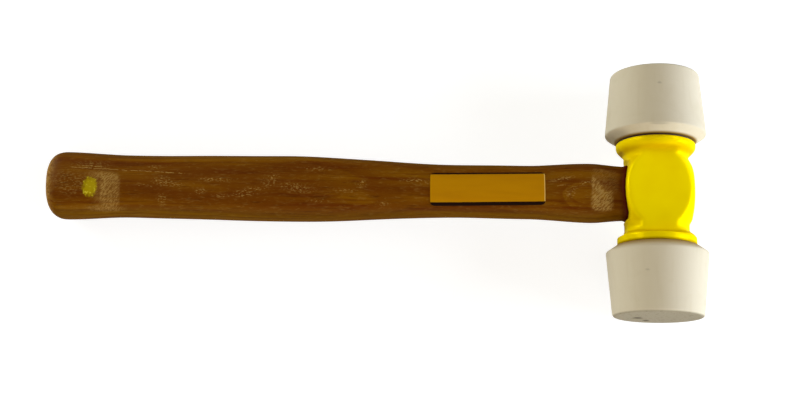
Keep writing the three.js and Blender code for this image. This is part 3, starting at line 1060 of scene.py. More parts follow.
@dataclass(frozen=True)
class Fits:
    """Sizes in millimetres that more than one piece follows."""

    fit_gap: float = 0.25
    seat_gap: float = 0.15
    head_half_length: float = 25.9
    eye_length: float = 33.8
    eye_offset: float = 1.2
    eye_height: float = 25.2
    eye_width: float = 17.0
    eye_flare: float = 0.8
    eye_squareness: float = 2.6
    eye_wall: float = 2.0
    pinch: float = 1.4
    pinch_length: float = 5.0
    bow_centre: float = 0.9
    bow_rise: float = 0.75
    bow_reach: float = 7.9
    bow_fall: float = 1.0
    tenon_recess: float = 1.2
    thread_radius: float = 6.35
    thread_pitch: float = 25.4 / 13
    thread_depth: float = 1.15
    stud_end_gap: float = 0.6
    washer_thickness: float = 0.8
    plate_radius: float = 15.0
    plate_thickness: float = 3.0
    plate_depth: float = 5.0

    @property
    def eye_back(self) -> float:
        """Eye face on the handle's side."""
        return self.eye_offset - self.eye_length / 2

    @property
    def eye_front(self) -> float:
        """Eye face on the far side."""
        return self.eye_offset + self.eye_length / 2

    @property
    def tenon_end(self) -> float:
        """End of the tenon, just below the far eye face."""
        return self.eye_front - self.tenon_recess

    @property
    def bore(self) -> float:
        """Radius of a hole that a stud passes through."""
        return self.thread_radius + self.fit_gap

    @property
    def hole_bottom(self) -> float:
        """Bottom of a tapped hole."""
        return self.eye_height / 2 + self.eye_flare + self.eye_wall

    @property
    def washer_back(self) -> float:
        """Side of a washer that faces the head."""
        return self.head_half_length + self.seat_gap

    @property
    def tip_seat(self) -> float:
        """Back of a tip."""
        return self.washer_back + self.washer_thickness + self.seat_gap

    @property
    def plate_back(self) -> float:
        """Back of the plate in a tip."""
        return self.tip_seat + self.plate_depth

    @property
    def plate_front(self) -> float:
        """Front of the plate in a tip."""
        return self.plate_back + self.plate_thickness

    def bow(self, y: np.ndarray) -> np.ndarray:
        """How far the back of the head bows out towards the handle, at heights along the head."""
        away = (y - self.bow_centre) / self.bow_reach
        return np.maximum(self.bow_rise * (1 - away**2), -self.bow_fall)

    def tenon_rings(self, x: np.ndarray, gap: np.ndarray | float, sides: int) -> np.ndarray:
        """Sections of the tenon.

        Args:
            x: Places along the handle.
            gap: How far the sections stand off the tenon.
            sides: Points in a section.

        Returns:
            Rings for a skin.
        """
        into = x - self.eye_back
        flare = self.eye_flare * into / self.eye_length - self.fit_gap + gap
        near_mouth = 1 - ease(into / self.pinch_length)
        half_height = self.eye_height / 2 + flare - self.pinch * near_mouth
        rings = oval(x, half_height, self.eye_width / 2 + flare, self.eye_squareness, sides)
        rings[:, :, 0] -= self.bow(rings[:, :, 1]) * near_mouth[:, None]
        return rings


@dataclass(frozen=True)
class Collar:
    """Collar at one end of the head, with a low rim round the washer's seat.

    The barrel's end, the collar's start and the foot of its cove on the cheek are measured from the middle
    of the head, and the end of the field round the eye from the middle of the bow. The rise is the length
    over which the neck widens to the radius. The groove is the line of painted shade beyond the foot of
    the cove.
    """

    field: float
    field_edge: float
    barrel_end: float
    start: float
    rise: float
    radius: float
    cove: float
    rim: float
    edge: float
    groove: float
    groove_width: float
    groove_shade: float

    def dirt(self, along: np.ndarray) -> np.ndarray:
        """Painted shade in the groove, at distances from the middle towards this end."""
        return self.groove_shade * bell(along - self.cove - self.groove, self.groove_width)


@dataclass(frozen=True)
class EnamelHead:
    """Cast head with round collars, a barrel with flat cheeks and an eye for the handle.

    The flanks are the sides of the barrel towards the handle, below the labelled cheek. The overlap is how
    far the outline of one half begins beyond the middle, so that both halves are softened alike.
    """

    fits: Fits
    upper: Collar = Collar(
        field=13.8,
        field_edge=3.4,
        barrel_end=17.6,
        start=18.2,
        rise=5.6,
        radius=20.0,
        cove=18.9,
        rim=0.1,
        edge=0.8,
        groove=1.7,
        groove_width=1.6,
        groove_shade=0.8,
    )
    lower: Collar = Collar(
        field=14.8,
        field_edge=1.4,
        barrel_end=16.0,
        start=19.4,
        rise=3.8,
        radius=19.7,
        cove=20.7,
        rim=0.85,
        edge=0.5,
        groove=1.2,
        groove_width=0.9,
        groove_shade=1.0,
    )
    seat_radius: float = 19.15
    neck_radius: float = 16.2
    barrel_radius: float = 21.0
    barrel_offset: float = 0.8
    field_depth: float = 1.7
    cheek_thickness: float = 28.2
    cheek_cove: float = 2.2
    edge_sharpness: float = 44.0
    fillet: float = 0.45
    lip_round: float = 0.8
    lip_depth: float = 1.0
    hole_sink: float = 0.8
    seat_grime_and_shade: float = 0.4
    seat_grime_and_shade_width: float = 0.5
    mouth_half_width: float = 12.0
    mouth_grime_and_shade_width: float = 0.6
    flank_start: float = 6.0
    flank_fade: float = 4.0
    flank_top: float = 0.3
    flank_top_fade: float = 1.2
    flank_end_fade: float = 2.0
    overlap: float = 5.0
    sides: int = 320
    eye_sides: int = 96
    step: float = 0.35

    def radii(self, along: np.ndarray, collar: Collar, side: int) -> np.ndarray:
        """Radius of the casting before its cheeks are flattened.

        Args:
            along: Distances from the middle towards one end.
            collar: Collar at that end.
            side: 1 for the upper end, -1 for the lower end.

        Returns:
            One radius for each distance.
        """
        rise = self.barrel_radius - self.neck_radius
        length = collar.barrel_end - side * self.barrel_offset
        arc = (length**2 + rise**2) / (2 * rise)
        away = np.minimum(np.abs(along * side - self.barrel_offset), length)
        bulge = self.barrel_radius - arc + np.sqrt(arc**2 - away**2)
        risen = ease((along - collar.start) / collar.rise)
        return bulge + (collar.radius - self.neck_radius) * risen

    def half(self, collar: Collar, side: int) -> tuple[np.ndarray, np.ndarray]:
        """Outline of one half, from the middle over the collar to the bottom of its tapped hole.

        Args:
            collar: Collar at that end.
            side: 1 for the upper end, -1 for the lower end.

        Returns:
            Distances from the middle, and radii.
        """
        fits = self.fits
        seat = fits.head_half_length
        end = seat + collar.rim
        fine = np.arange(-self.overlap, end, self.step / 6)
        blur = np.arange(-4 * self.fillet, 4 * self.fillet, self.step / 6)
        weight = np.exp(-0.5 * (blur / self.fillet) ** 2)
        padded = np.pad(self.radii(fine, collar, side), len(weight) // 2, "edge")
        soft = np.convolve(padded, weight / weight.sum(), "same")[len(weight) // 2:][:len(fine)]
        along = np.arange(0, end - collar.edge, self.step)
        turn = np.linspace(0, math.pi / 2, 8)
        face = np.linspace(self.seat_radius, fits.bore + self.hole_sink, 12)
        heights = [
            along,
            end - collar.edge * (1 - np.sin(turn)),
            [end],
            np.full(len(face), seat),
            [seat - self.hole_sink, fits.hole_bottom],
        ]
        radii = [
            np.interp(along, fine, soft),
            collar.radius - collar.edge * (1 - np.cos(turn)),
            [self.seat_radius],
            face,
            [fits.bore, fits.bore],
        ]
        return np.concatenate(heights), np.concatenate(radii)

    def at_end(self, size: str, along: np.ndarray) -> np.ndarray:
        """Size of the collar on whose side each place along the head lies."""
        return np.where(along > 0, getattr(self.upper, size), getattr(self.lower, size))

    def rings(self) -> np.ndarray:
        """Rings from the bottom of one tapped hole, over the outside, to the bottom of the other.

        Returns:
            Array of rings, points and coordinates.
        """
        fits = self.fits
        above, above_radius = self.half(self.upper, 1)
        below, below_radius = self.half(self.lower, -1)
        along = np.concatenate([-below[:0:-1], above])
        radius = np.concatenate([below_radius[:0:-1], above_radius])
        into = np.clip(np.abs(along) - self.at_end("cove", along), 0, self.cheek_cove)
        cove = self.cheek_cove - np.sqrt(self.cheek_cove**2 - into**2)
        cove = np.where(into >= self.cheek_cove, FAR, cove)[:, None]
        away = np.abs(along - fits.bow_centre) - self.at_end("field", along)
        beside_eye = ease(away / self.at_end("field_edge", along))
        back = (fits.bow(along) + self.field_depth * beside_eye - fits.eye_back)[:, None]
        angle = around(self.sides)
        across, up = np.sin(angle)[None, :], np.cos(angle)[None, :]
        limits = np.stack([
            np.broadcast_to(1 / radius[:, None], (len(along), self.sides)),
            np.abs(across) / (cove + np.where(across > 0, fits.eye_front, back)),
            np.abs(up) / (cove + self.cheek_thickness / 2),
        ])
        reach = (limits**self.edge_sharpness).sum(axis=0) ** (-1 / self.edge_sharpness)
        height = np.repeat(along[:, None], self.sides, axis=1)
        return np.stack([reach * across, height, reach * up], axis=2)

    def eye(self) -> Piece:
        """Solid that cuts the eye, with a rounded lip at each face.

        Returns:
            The cutter.
        """
        fits = self.fits
        beyond = 4.0
        turn = np.linspace(0, math.pi / 2, 9)
        round_in = self.lip_round * (1 - np.sin(turn))
        inside = np.linspace(fits.eye_back + self.lip_depth, fits.eye_front - self.lip_depth, 30)
        x = np.concatenate([
            [fits.eye_back - beyond],
            fits.eye_back + round_in[::-1],
            inside,
            fits.eye_front - round_in,
            [fits.eye_front + beyond],
        ])
        lip = self.lip_round * (1 - np.cos(turn))
        far = [self.lip_round + beyond]
        gap = fits.fit_gap + np.concatenate([far, lip[::-1], 0 * inside, lip, far])
        rings = fits.tenon_rings(x, gap, self.eye_sides)
        return skinned("eye", rings, (x[0] - fits.bow_rise, 0, 0), (x[-1], 0, 0))

    def wear(self, mesh: Mesh) -> None:
        """Keeps on the mesh the painted ochre shade and the seam grime mixed with painted shade.

        Args:
            mesh: Mesh of the head.
        """
        fits = self.fits
        x, y, z = points_of(mesh).T
        # Painted shade in the groove under each collar, at the seat, on the flank beside the handle and
        # over the upper collar.
        groove = self.upper.dirt(y) + self.lower.dirt(-y)
        seat = bell(np.abs(y) - fits.head_half_length - self.seat_grime_and_shade, self.seat_grime_and_shade_width)
        at_eye = (np.abs(y) < fits.hole_bottom) * (np.abs(z) < self.mouth_half_width)
        mouth = bell(x - fits.eye_back + fits.bow(y), self.mouth_grime_and_shade_width) * at_eye
        below_cheek = self.cheek_thickness / 2 - self.flank_top - z
        flank = ease((-x - self.flank_start) / self.flank_fade) * ease(below_cheek / self.flank_top_fade)
        flank *= 1 - ease((np.abs(y) - self.upper.barrel_end) / self.flank_end_fade)
        upper_collar_shade = ease((y - self.upper.cove) / self.cheek_cove)
        store(mesh, "painted_shade", np.clip(0.7 * groove + 0.5 * seat + 0.35 * flank + 0.2 * upper_collar_shade, 0, 1))
        store(mesh, "seam", np.clip(0.4 * seat + 0.3 * mouth, 0, 1))

    def build(self, lie: Lie, material: Material) -> None:
        """Makes the head.

        Args:
            lie: How the mallet lies.
            material: Enamel.
        """
        bottom = self.fits.hole_bottom
        piece = skinned("enamel_head", self.rings(), (0, -bottom, 0), (0, bottom, 0))
        cut(piece, self.eye())
        self.wear(piece.data)
        shaded(piece.data, 38)
        settle(piece, lie, "mallet", Slot.ENAMEL, material, "head_casting")


class Trait(Enum):
    """What sets a patch of the handle apart, named as the mesh keeps it."""

    SCUFF = "scuff"
    FRAY = "fray"
    PAINT = "paint"
    FIGURE = "figure"


@dataclass(frozen=True)
class Patch:
    """Patch on the upper side of the handle, or on its under side, with a soft or a sharp edge."""

    kind: Trait
    x: float
    y: float
    half_length: float
    half_width: float
    strength: float = 1.0
    tilt: float = 0.0
    sharpness: float = 2.0
    under: bool = False

    def spread(self, points: np.ndarray) -> np.ndarray:
        """Strength of the patch.

        Args:
            points: Places, one row each.

        Returns:
            One value for each point.
        """
        away = points[:, :2] - (self.x, self.y)
        slope = math.tan(self.tilt)
        along = np.abs(away[:, 0]) / self.half_length
        across = np.abs(away[:, 1] - slope * away[:, 0]) / self.half_width
        facing = points[:, 2] < 0 if self.under else points[:, 2] > 0
        return self.strength * np.exp(-((along**self.sharpness + across**self.sharpness) ** 2)) * facing


@dataclass(frozen=True)
class HickoryHandle:
    """Hickory handle from its worn butt to the wedged tenon.

    The butt, waist and swell give their place from the end of the butt, the neck and the shoulder from the
    head's middle, each with width and thickness. Kerf and slot widths are at the bottom and at the end.
    """

    fits: Fits
    length: float = 316.0
    squareness: float = 2.4
    butt: Triple = (10.6, 35.6, 25.0)
    butt_round: float = 11.5
    butt_roundness: float = 2.8
    butt_slant: float = 0.055
    waist: Triple = (46.0, 32.6, 23.0)
    swell: Triple = (126.0, 34.2, 24.2)
    neck_back: Triple = (-97.0, 27.2, 18.6)
    neck_front: Triple = (-66.0, 27.4, 18.8)
    shoulder: Triple = (-33.5, 30.3, 21.6)
    mouth_size: tuple[float, float] = (27.6, 19.4)
    lip: float = 0.7
    lip_length: float = 2.2
    bow_length: float = 10.0
    head_shadow_length: float = 4.5
    rim_wear: float = 8.0
    unevenness: float = 0.008
    ripple_length: float = 46.0
    calm_start: float = 12.0
    calm_length: float = 10.0
    kerf_depth: float = 27.0
    kerf_width: tuple[float, float] = (0.9, 3.9)
    kerf_excess: float = 6.0
    slot_depth: float = 15.0
    slot_length: float = 12.6
    slot_width: tuple[float, float] = (0.5, 2.2)
    slot_spacing: float = 11.0
    sides: int = 160
    step: float = 0.9
    patches: tuple[Patch, ...] = (
        Patch(Trait.FRAY, -279.4, -4.4, 5.0, 8.4, 0.6, 0.0, 6.0),
        Patch(Trait.FRAY, -285.4, -3.4, 4.0, 8.0, 0.3),
        Patch(Trait.FRAY, -285.0, 3.2, 8.0, 2.2, 0.4),
        Patch(Trait.FRAY, -282.0, -13.6, 9.0, 1.4, 0.45),
        Patch(Trait.PAINT, -289.8, -3.2, 4.2, 5.8, 0.85),
        Patch(Trait.SCUFF, -252.8, 0.7, 4.6, 2.4, 0.9),
        Patch(Trait.SCUFF, -247.0, -1.2, 7.0, 1.4, 0.7),
        Patch(Trait.SCUFF, -257.0, 8.0, 3.4, 1.2, 0.7),
        Patch(Trait.SCUFF, -252.0, -9.0, 2.4, 3.4, 0.55),
        Patch(Trait.SCUFF, -300.0, -1.0, 9.0, 6.5, 0.5),
        Patch(Trait.SCUFF, -290.0, 8.6, 10.0, 2.4, 0.5),
        Patch(Trait.SCUFF, -224.0, 1.6, 10.0, 1.0, 0.8),
        Patch(Trait.SCUFF, -232.0, -4.6, 3.0, 1.6, 0.8),
        Patch(Trait.SCUFF, -221.0, -6.8, 5.0, 1.0, 0.6),
        Patch(Trait.SCUFF, -207.0, -4.6, 8.0, 2.2, 0.85, 0.16),
        Patch(Trait.SCUFF, -196.0, 1.6, 4.0, 3.4, 0.8, 0.3),
        Patch(Trait.SCUFF, -182.0, -2.2, 9.0, 2.4, 0.8, -0.1),
        Patch(Trait.SCUFF, -172.0, 8.2, 7.0, 1.2, 0.7),
        Patch(Trait.SCUFF, -171.0, -8.6, 6.0, 1.0, 0.6),
        Patch(Trait.SCUFF, -149.3, 0.8, 3.0, 2.4, 0.8, 0.3),
        Patch(Trait.SCUFF, -157.0, -3.2, 6.0, 1.2, 0.55),
        Patch(Trait.SCUFF, -138.0, -9.2, 3.4, 1.4, 0.6),
        Patch(Trait.SCUFF, -122.0, 2.8, 8.0, 1.4, 0.8, -0.05),
        Patch(Trait.SCUFF, -48.0, 5.0, 6.0, 1.2, 0.7, 0.2),
        Patch(Trait.SCUFF, -43.4, -2.0, 3.0, 3.0, 0.7, 0.4),
        Patch(Trait.SCUFF, -37.0, 2.6, 4.0, 1.2, 0.8, 0.2),
        Patch(Trait.FIGURE, -37.0, -3.4, 9.0, 6.0),
        Patch(Trait.FRAY, -28.0, -5.8, 5.4, 5.0, 0.9, 0.0, 6.0),
        Patch(Trait.FRAY, -30.6, 1.2, 2.8, 3.2, 0.7, -0.7, 6.0),
        Patch(Trait.FRAY, -26.8, 4.4, 6.8, 6.4, 0.25, -0.1, 6.0),
        Patch(Trait.SCUFF, -260.0, 2.0, 18.0, 6.0, 0.5, under=True),
        Patch(Trait.SCUFF, -190.0, -3.0, 22.0, 5.0, 0.5, 0.05, under=True),
        Patch(Trait.SCUFF, -110.0, 2.0, 26.0, 4.0, 0.45, 0.03, under=True),
        Patch(Trait.FRAY, -29.0, 0.0, 5.0, 7.0, 0.5, 0.2, 5.0, under=True),
    )

    @property
    def mouth(self) -> float:
        """Place where the handle meets the head."""
        return self.fits.eye_back - self.fits.fit_gap

    def stations(self) -> np.ndarray:
        """Swells and waists from the butt to the head, as place, width and thickness.

        Returns:
            One row for each.
        """
        grip = (self.butt, self.waist, self.swell)
        from_butt = [(x - self.length, wide, thick) for x, wide, thick in grip]
        end = (self.mouth, *self.mouth_size)
        return np.array([*from_butt, self.neck_back, self.neck_front, self.shoulder, end])

    def butt_share(self, x: np.ndarray) -> np.ndarray:
        """How far a place lies into the rounding of the butt, from 0 to 1 at its end."""
        return np.clip((self.butt_round - self.length - x) / self.butt_round, 0, 1)

    def half_sizes(self, x: np.ndarray) -> np.ndarray:
        """Half width and half thickness of the handle.

        Args:
            x: Places along it.

        Returns:
            One row of half widths and one of half thicknesses.
        """
        stations = self.stations()
        found = np.clip(np.searchsorted(stations[:, 0], x, "right") - 1, 0, len(stations) - 2)
        here, ahead = stations[found], stations[found + 1]
        share = ease((x - here[:, 0]) / (ahead[:, 0] - here[:, 0]))
        size = here[:, 1:] + (ahead[:, 1:] - here[:, 1:]) * share[:, None]
        roundness = self.butt_roundness
        close = (1 - self.butt_share(x) ** roundness) ** (1 / roundness)
        lip = self.lip * ease((x - self.mouth + self.lip_length) / self.lip_length)
        return (size / 2 * close[:, None] + lip[:, None]).T

    def shaft(self) -> Piece:
        """Handle with a whole tenon.

        Returns:
            The uncut handle.
        """
        turn = np.linspace(0.02, math.pi / 2, 24)
        rounding = self.butt_round * (1 - np.cos(turn)) - self.length
        lip_start = self.mouth - self.lip_length
        straight = np.arange(rounding[-1] + self.step, lip_start, self.step)
        x = np.concatenate([rounding, straight, np.linspace(lip_start, self.mouth, 6)])
        rings = oval(x, *self.half_sizes(x), self.squareness, self.sides)
        rings[:, :, 0] -= self.butt_slant * self.butt_share(x)[:, None] * rings[:, :, 1]
        flat = rings.reshape(-1, 3)
        calm = 1 - ease((flat[:, 0] - self.mouth + self.calm_start) / self.calm_length)
        flat[:, 1:] *= 1 + (self.unevenness * ripple(flat, self.ripple_length) * calm)[:, None]
        follow = ease((flat[:, 0] - self.mouth + self.bow_length) / self.bow_length)
        flat[:, 0] -= follow * self.fits.bow(flat[:, 1])
        tenon_x = np.linspace(self.mouth, self.fits.tenon_end, 32)
        rings = np.concatenate([rings, self.fits.tenon_rings(tenon_x, 0.0, self.sides)])
        return skinned("hickory_handle", rings, (-self.length, 0, 0), (self.fits.tenon_end, 0, 0))

    def slit(self, name: str, depth: float, width: tuple[float, float], across: float, y: float) -> Piece:
        """Cutter for one tapered slit in the end of the tenon.

        Args:
            name: Name of the cutter.
            depth: Depth of the slit.
            width: Width at its bottom and at the end of the tenon.
            across: Size across the tenon, along Z for a slit beside the middle and along Y otherwise.
            y: Middle of the slit along Y, or 0 for the long slit.

        Returns:
            The cutter.
        """
        gap = self.fits.fit_gap
        beyond = 1.0
        x = np.array([self.fits.tenon_end - depth - gap, self.fits.tenon_end + beyond])
        slope = (width[1] - width[0]) / depth
        half = np.array([width[0] - slope * gap, width[1] + slope * beyond]) / 2 + gap
        corners = np.array([(-1, -1), (1, -1), (1, 1), (-1, 1)])
        reach = across / 2 + gap
        rings = []
        for place, thick in zip(x, half):
            size = (thick, reach) if y else (reach, thick)
            rings.append([(place, y + a * size[0], b * size[1]) for a, b in corners])
        return skinned(name, np.array(rings), (x[0], y, 0), (x[1], y, 0))

    def wear(self, mesh: Mesh) -> None:
        """Keeps on the mesh its wear, a painted sheen on its narrow sides and a painted shadow beside the
        head.

        Args:
            mesh: Mesh of the handle.
        """
        points = points_of(mesh)
        for kind in Trait:
            alike = [patch.spread(points) for patch in self.patches if patch.kind is kind]
            store(mesh, kind.value, sum(alike))
        # Painted sheen: the narrow sides, found by the sideways lean of their normals, for the olive laid
        # in the finish.
        sideways = np.abs(points_of(mesh, "normal")[:, 1])
        store(mesh, "side", ease((sideways - 0.5) / 0.4))
        store(mesh, "rim", 1 - ease((points[:, 0] + self.length) / self.rim_wear))
        # Painted shadow: how near each point lies to where the handle enters the head.
        depth = self.mouth - self.fits.bow(points[:, 1]) - points[:, 0]
        store(mesh, "soak", 1 - ease(np.abs(depth) / self.head_shadow_length))

    def build(self) -> Piece:
        """Makes the handle.

        Returns:
            The handle, still in its own frame so that the label can be laid on it.
        """
        piece = self.shaft()
        across = self.fits.eye_height + self.kerf_excess
        slot = (self.slot_depth, self.slot_width, self.slot_length)
        cut(
            piece,
            self.slit("kerf", self.kerf_depth, self.kerf_width, across, 0.0),
            self.slit("upper_slot", *slot, self.slot_spacing / 2),
            self.slit("lower_slot", *slot, -self.slot_spacing / 2),
        )
        self.wear(piece.data)
        shaded(piece.data, 40)
        return piece


@dataclass(frozen=True)
class Label:
    """Gold film on the neck of the handle, with the sizes that its node tree takes by the same names."""

    length: float = 58.0
    width: float = 16.8
    corner: float = 1.9
    thickness: float = 0.2
    lift: float = 0.06
    centre: Triple = (-85.4, -0.5, 40.0)
    tilt: float = 0.0225

    def build(self, lie: Lie, material: Material, handle: Piece) -> None:
        """Lays the label on the handle.

        Args:
            lie: How the mallet lies.
            material: Finish of the label.
            handle: Handle in its own frame.
        """
        sizes = {name.capitalize(): size for name, size in vars(self).items()}
        piece = film("gold_film", {**sizes, "Surface": handle, "Material": material})
        shaded(piece.data, 40)
        settle(piece, lie, "mallet", Slot.LABEL, material, "handle_label")


@dataclass(frozen=True)
class Nick:
    """Small mark on a tip: a dent, a smear of dirt, or both."""

    place: Triple
    half_sizes: Triple
    dirt: float
    depth: float = 0.0

    def spread(self, points: np.ndarray) -> np.ndarray:
        """Strength of the mark at each point."""
        away = (points - self.place) / self.half_sizes
        return np.exp(-((away**2).sum(axis=1) ** 2))


UPPER_NICKS = (
    Nick((-0.7, 51.8, 23.5), (1.0, 0.5, 3.0), 0.3),
    Nick((-1.2, 30.2, 24.6), (4.6, 0.5, 2.0), 0.28),
    # This mark is painted shade with grime on the left of the upper bevel, beside the washer.
    Nick((-20.0, 28.2, 8.0), (7.0, 2.6, 9.0), 0.3),
)
LOWER_NICKS = (
    Nick((8.0, 42.8, 22.9), (0.9, 0.5, 3.0), 0.25),
    Nick((9.6, 62.7, -5.0), (2.4, 2.0, 2.4), 1.0, 0.5),
    Nick((4.4, 62.7, -13.2), (1.6, 2.0, 2.0), 1.0, 0.4),
)


@dataclass(frozen=True)
class HeadEnd:
    """Rubber tip, its steel stud and the washer under it, at one end of the head.

    The pieces are drawn at the upper end and then turned to their own.
    """

    end: End
    fits: Fits
    nicks: tuple[Nick, ...]
    bevel_grime_and_shade_depth: float
    rim_radius: float = 25.4
    face_radius: float = 22.5
    side_length: float = 32.1
    bevel_depth: float = 3.6
    seat_radius: float = 20.2
    face_round: float = 1.6
    rim_round: float = 1.0
    edge_round: float = 0.3
    struck_depth: float = 0.9
    struck_fade: float = 0.8
    unevenness: float = 0.05
    ripple_length: float = 17.0
    calm_start: float = 2.0
    calm_length: float = 3.0
    stud_chamfer: float = 0.6
    stud_lead: float = 1.2
    stud_sides: int = 96
    stud_step: float = 1.0
    thread_inset: float = 0.8
    washer_radius: float = 18.95
    washer_round: float = 0.2
    washer_sides: int = 160
    washer_step: float = 1.5
    sides: int = 240
    step: float = 0.6

    @property
    def rim(self) -> float:
        """Height of the widest part of the tip."""
        return self.fits.tip_seat + self.bevel_depth

    @property
    def face(self) -> float:
        """Height of the striking face."""
        return self.rim + self.side_length

    @property
    def hollow_radius(self) -> float:
        """Radius of the hollow that holds the plate."""
        return self.fits.plate_radius + self.fits.fit_gap

    def name(self, what: str) -> str:
        """Name of a piece or node at this end."""
        return f"{self.end.value}_{what}"

    def rubber(self) -> Piece:
        """Tapered tip with the hollow that holds the plate of the stud.

        Returns:
            The tip.
        """
        fits = self.fits
        floor = fits.plate_back - fits.fit_gap
        roof = fits.plate_front + fits.fit_gap
        outline = rounded([
            (0, self.face),
            (self.face_radius, self.face, self.face_round),
            (self.rim_radius, self.rim + self.rim_round, self.rim_round / 2),
            (self.rim_radius, self.rim, self.rim_round / 2),
            (self.seat_radius, fits.tip_seat, self.edge_round),
            (fits.bore, fits.tip_seat),
            (fits.bore, floor),
            (self.hollow_radius, floor),
            (self.hollow_radius, roof),
            (0, roof),
        ], self.step)
        rings = turned(outline[1:-1], self.sides)
        piece = skinned(self.name("rubber"), rings, (0, self.face, 0), (0, roof, 0))
        self.wear(piece.data)
        shaded(piece.data, 42)
        return piece

    def wear(self, mesh: Mesh) -> None:
        """Makes a tip uneven, presses its nicks in and keeps its dirt and its painted shade on the mesh.

        Args:
            mesh: Mesh of the tip.
        """
        points = points_of(mesh)
        radius = np.hypot(points[:, 0], points[:, 2])
        outside = ease((radius - self.hollow_radius - self.calm_start) / self.calm_length)
        push = self.unevenness * ripple(points, self.ripple_length) * outside
        marks = np.zeros(len(points))
        shape = points.copy()
        shape[:, [0, 2]] *= (1 + push / self.rim_radius)[:, None]
        for nick in self.nicks:
            spread = nick.spread(points)
            marks = np.maximum(marks, nick.dirt * spread)
            shape[:, 1] -= nick.depth * spread
        mesh.vertices.foreach_set("co", shape.ravel())
        store(mesh, "mark", marks)
        store(mesh, "struck", ease((points[:, 1] - self.face + self.struck_depth) / self.struck_fade))
        # Painted shade with grime on the bevel next to the seat.
        store(mesh, "seat", 1 - ease((points[:, 1] - self.fits.tip_seat) / self.bevel_grime_and_shade_depth))

    def stud(self, steel: Material) -> Piece:
        """Plate and threaded stud.

        Args:
            steel: Finish of the stud.

        Returns:
            The stud with its thread.
        """
        fits = self.fits
        start = fits.hole_bottom + fits.stud_end_gap
        root = fits.thread_radius - fits.thread_depth
        core = rounded([
            (0, start),
            (root - self.stud_chamfer, start, self.edge_round),
            (root, start + self.stud_lead),
            (root, fits.tip_seat - self.stud_chamfer),
            (fits.thread_radius, fits.tip_seat),
            (fits.thread_radius, fits.plate_back),
            (fits.plate_radius, fits.plate_back, self.edge_round),
            (fits.plate_radius, fits.plate_front, self.edge_round),
            (0, fits.plate_front),
        ], self.stud_step)
        rings = turned(core[1:-1], self.stud_sides)
        piece = skinned(self.name("threaded_stud"), rings, (0, start, 0), (0, fits.plate_front, 0))
        ridge = thread("ridge", {
            "Radius": root,
            "Pitch": fits.thread_pitch,
            "Turns": (fits.tip_seat - start - 2 * self.thread_inset) / fits.thread_pitch,
            "Depth": fits.thread_depth,
            "Material": steel,
        })
        raised = Matrix.Translation((0, start + self.thread_inset, 0))
        ridge.data.transform(raised @ Matrix.Rotation(-math.pi / 2, 4, "X"))
        both = bmesh.new()
        both.from_mesh(piece.data)
        both.from_mesh(ridge.data)
        both.to_mesh(piece.data)
        both.free()
        bpy.data.objects.remove(ridge)
        shaded(piece.data, 35)
        return piece

    def washer(self) -> Piece:
        """Thin ring between the collar and the tip.

        Returns:
            The washer.
        """
        fits = self.fits
        back, front = fits.washer_back, fits.washer_back + fits.washer_thickness
        corners = [
            (fits.bore, back),
            (self.washer_radius, back, self.washer_round),
            (self.washer_radius, front, self.washer_round),
            (fits.bore, front),
        ]
        rings = turned(rounded(corners, self.washer_step), self.washer_sides)
        piece = skinned(self.name("fibre_washer"), rings)
        shaded(piece.data, 40)
        return piece

    def build(self, lie: Lie, rubber: Material, steel: Material, fibre: Material) -> None:
        """Makes the pieces of this end and ties them to their bodies.

        Args:
            lie: How the mallet lies.
            rubber: Finish of the tip.
            steel: Finish of the stud.
            fibre: Finish of the washer.
        """
        tip, stud, washer = self.rubber(), self.stud(steel), self.washer()
        for piece in (tip, stud, washer):
            piece.data.transform(self.end.turn)
        settle(tip, lie, self.name("tip"), Slot.RUBBER, rubber, self.name("tip"))
        settle(stud, lie, self.name("tip"), Slot.STUD_STEEL, steel, self.name("tip_stud"))
        settle(washer, lie, self.name("washer"), Slot.FIBRE, fibre, self.name("washer"))


def dress_wedges(lie: Lie) -> None:
    """Finishes the three wedges, whose CAD shapes show as they are.

    Args:
        lie: How the mallet lies.
    """
    steel = SteelFinish("wedge_steel", (0.3, 2.5, 2.5)).build(lie)
    wood = WEDGE_WOOD_FINISH.build(lie)
    finishes = {
        "wood_wedge": (wood, Slot.WEDGE_WOOD),
        "upper_steel_wedge": (steel, Slot.WEDGE_STEEL),
        "lower_steel_wedge": (steel, Slot.WEDGE_STEEL),
    }
    for name, (material, slot) in finishes.items():
        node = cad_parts[name]
        node.material_slots[0].material = material
        LOG.info("%s keeps its CAD shape", name)


# Studio

@dataclass(frozen=True)
class Lamp:
    """Soft lamp placed in metres, with its power in watts.

    It is turned to a point low over the floor, half way from the middle of the mallet to its head end. A
    glint is a lamp that shows only as a mirrored light on gloss.
    """

    name: str
    place: Triple
    width: float
    height: float
    power: float
    colour: Colour
    glint: bool = False

    def build(self) -> None:
        """Adds the lamp to the scene."""
        data = bpy.data.lights.new(self.name, "AREA")
        data.shape = "RECTANGLE"
        data.size = self.width
        data.size_y = self.height
        data.energy = self.power
        data.color = self.colour
        lamp = linked(self.name, data)
        lamp.location = self.place
        lamp.visible_diffuse = not self.glint
        aim = Vector((cad_box[1].x * 0.5, 0.0, 0.02)) - lamp.location
        lamp.rotation_mode = "QUATERNION"
        lamp.rotation_quaternion = aim.to_track_quat("-Z", "Y")


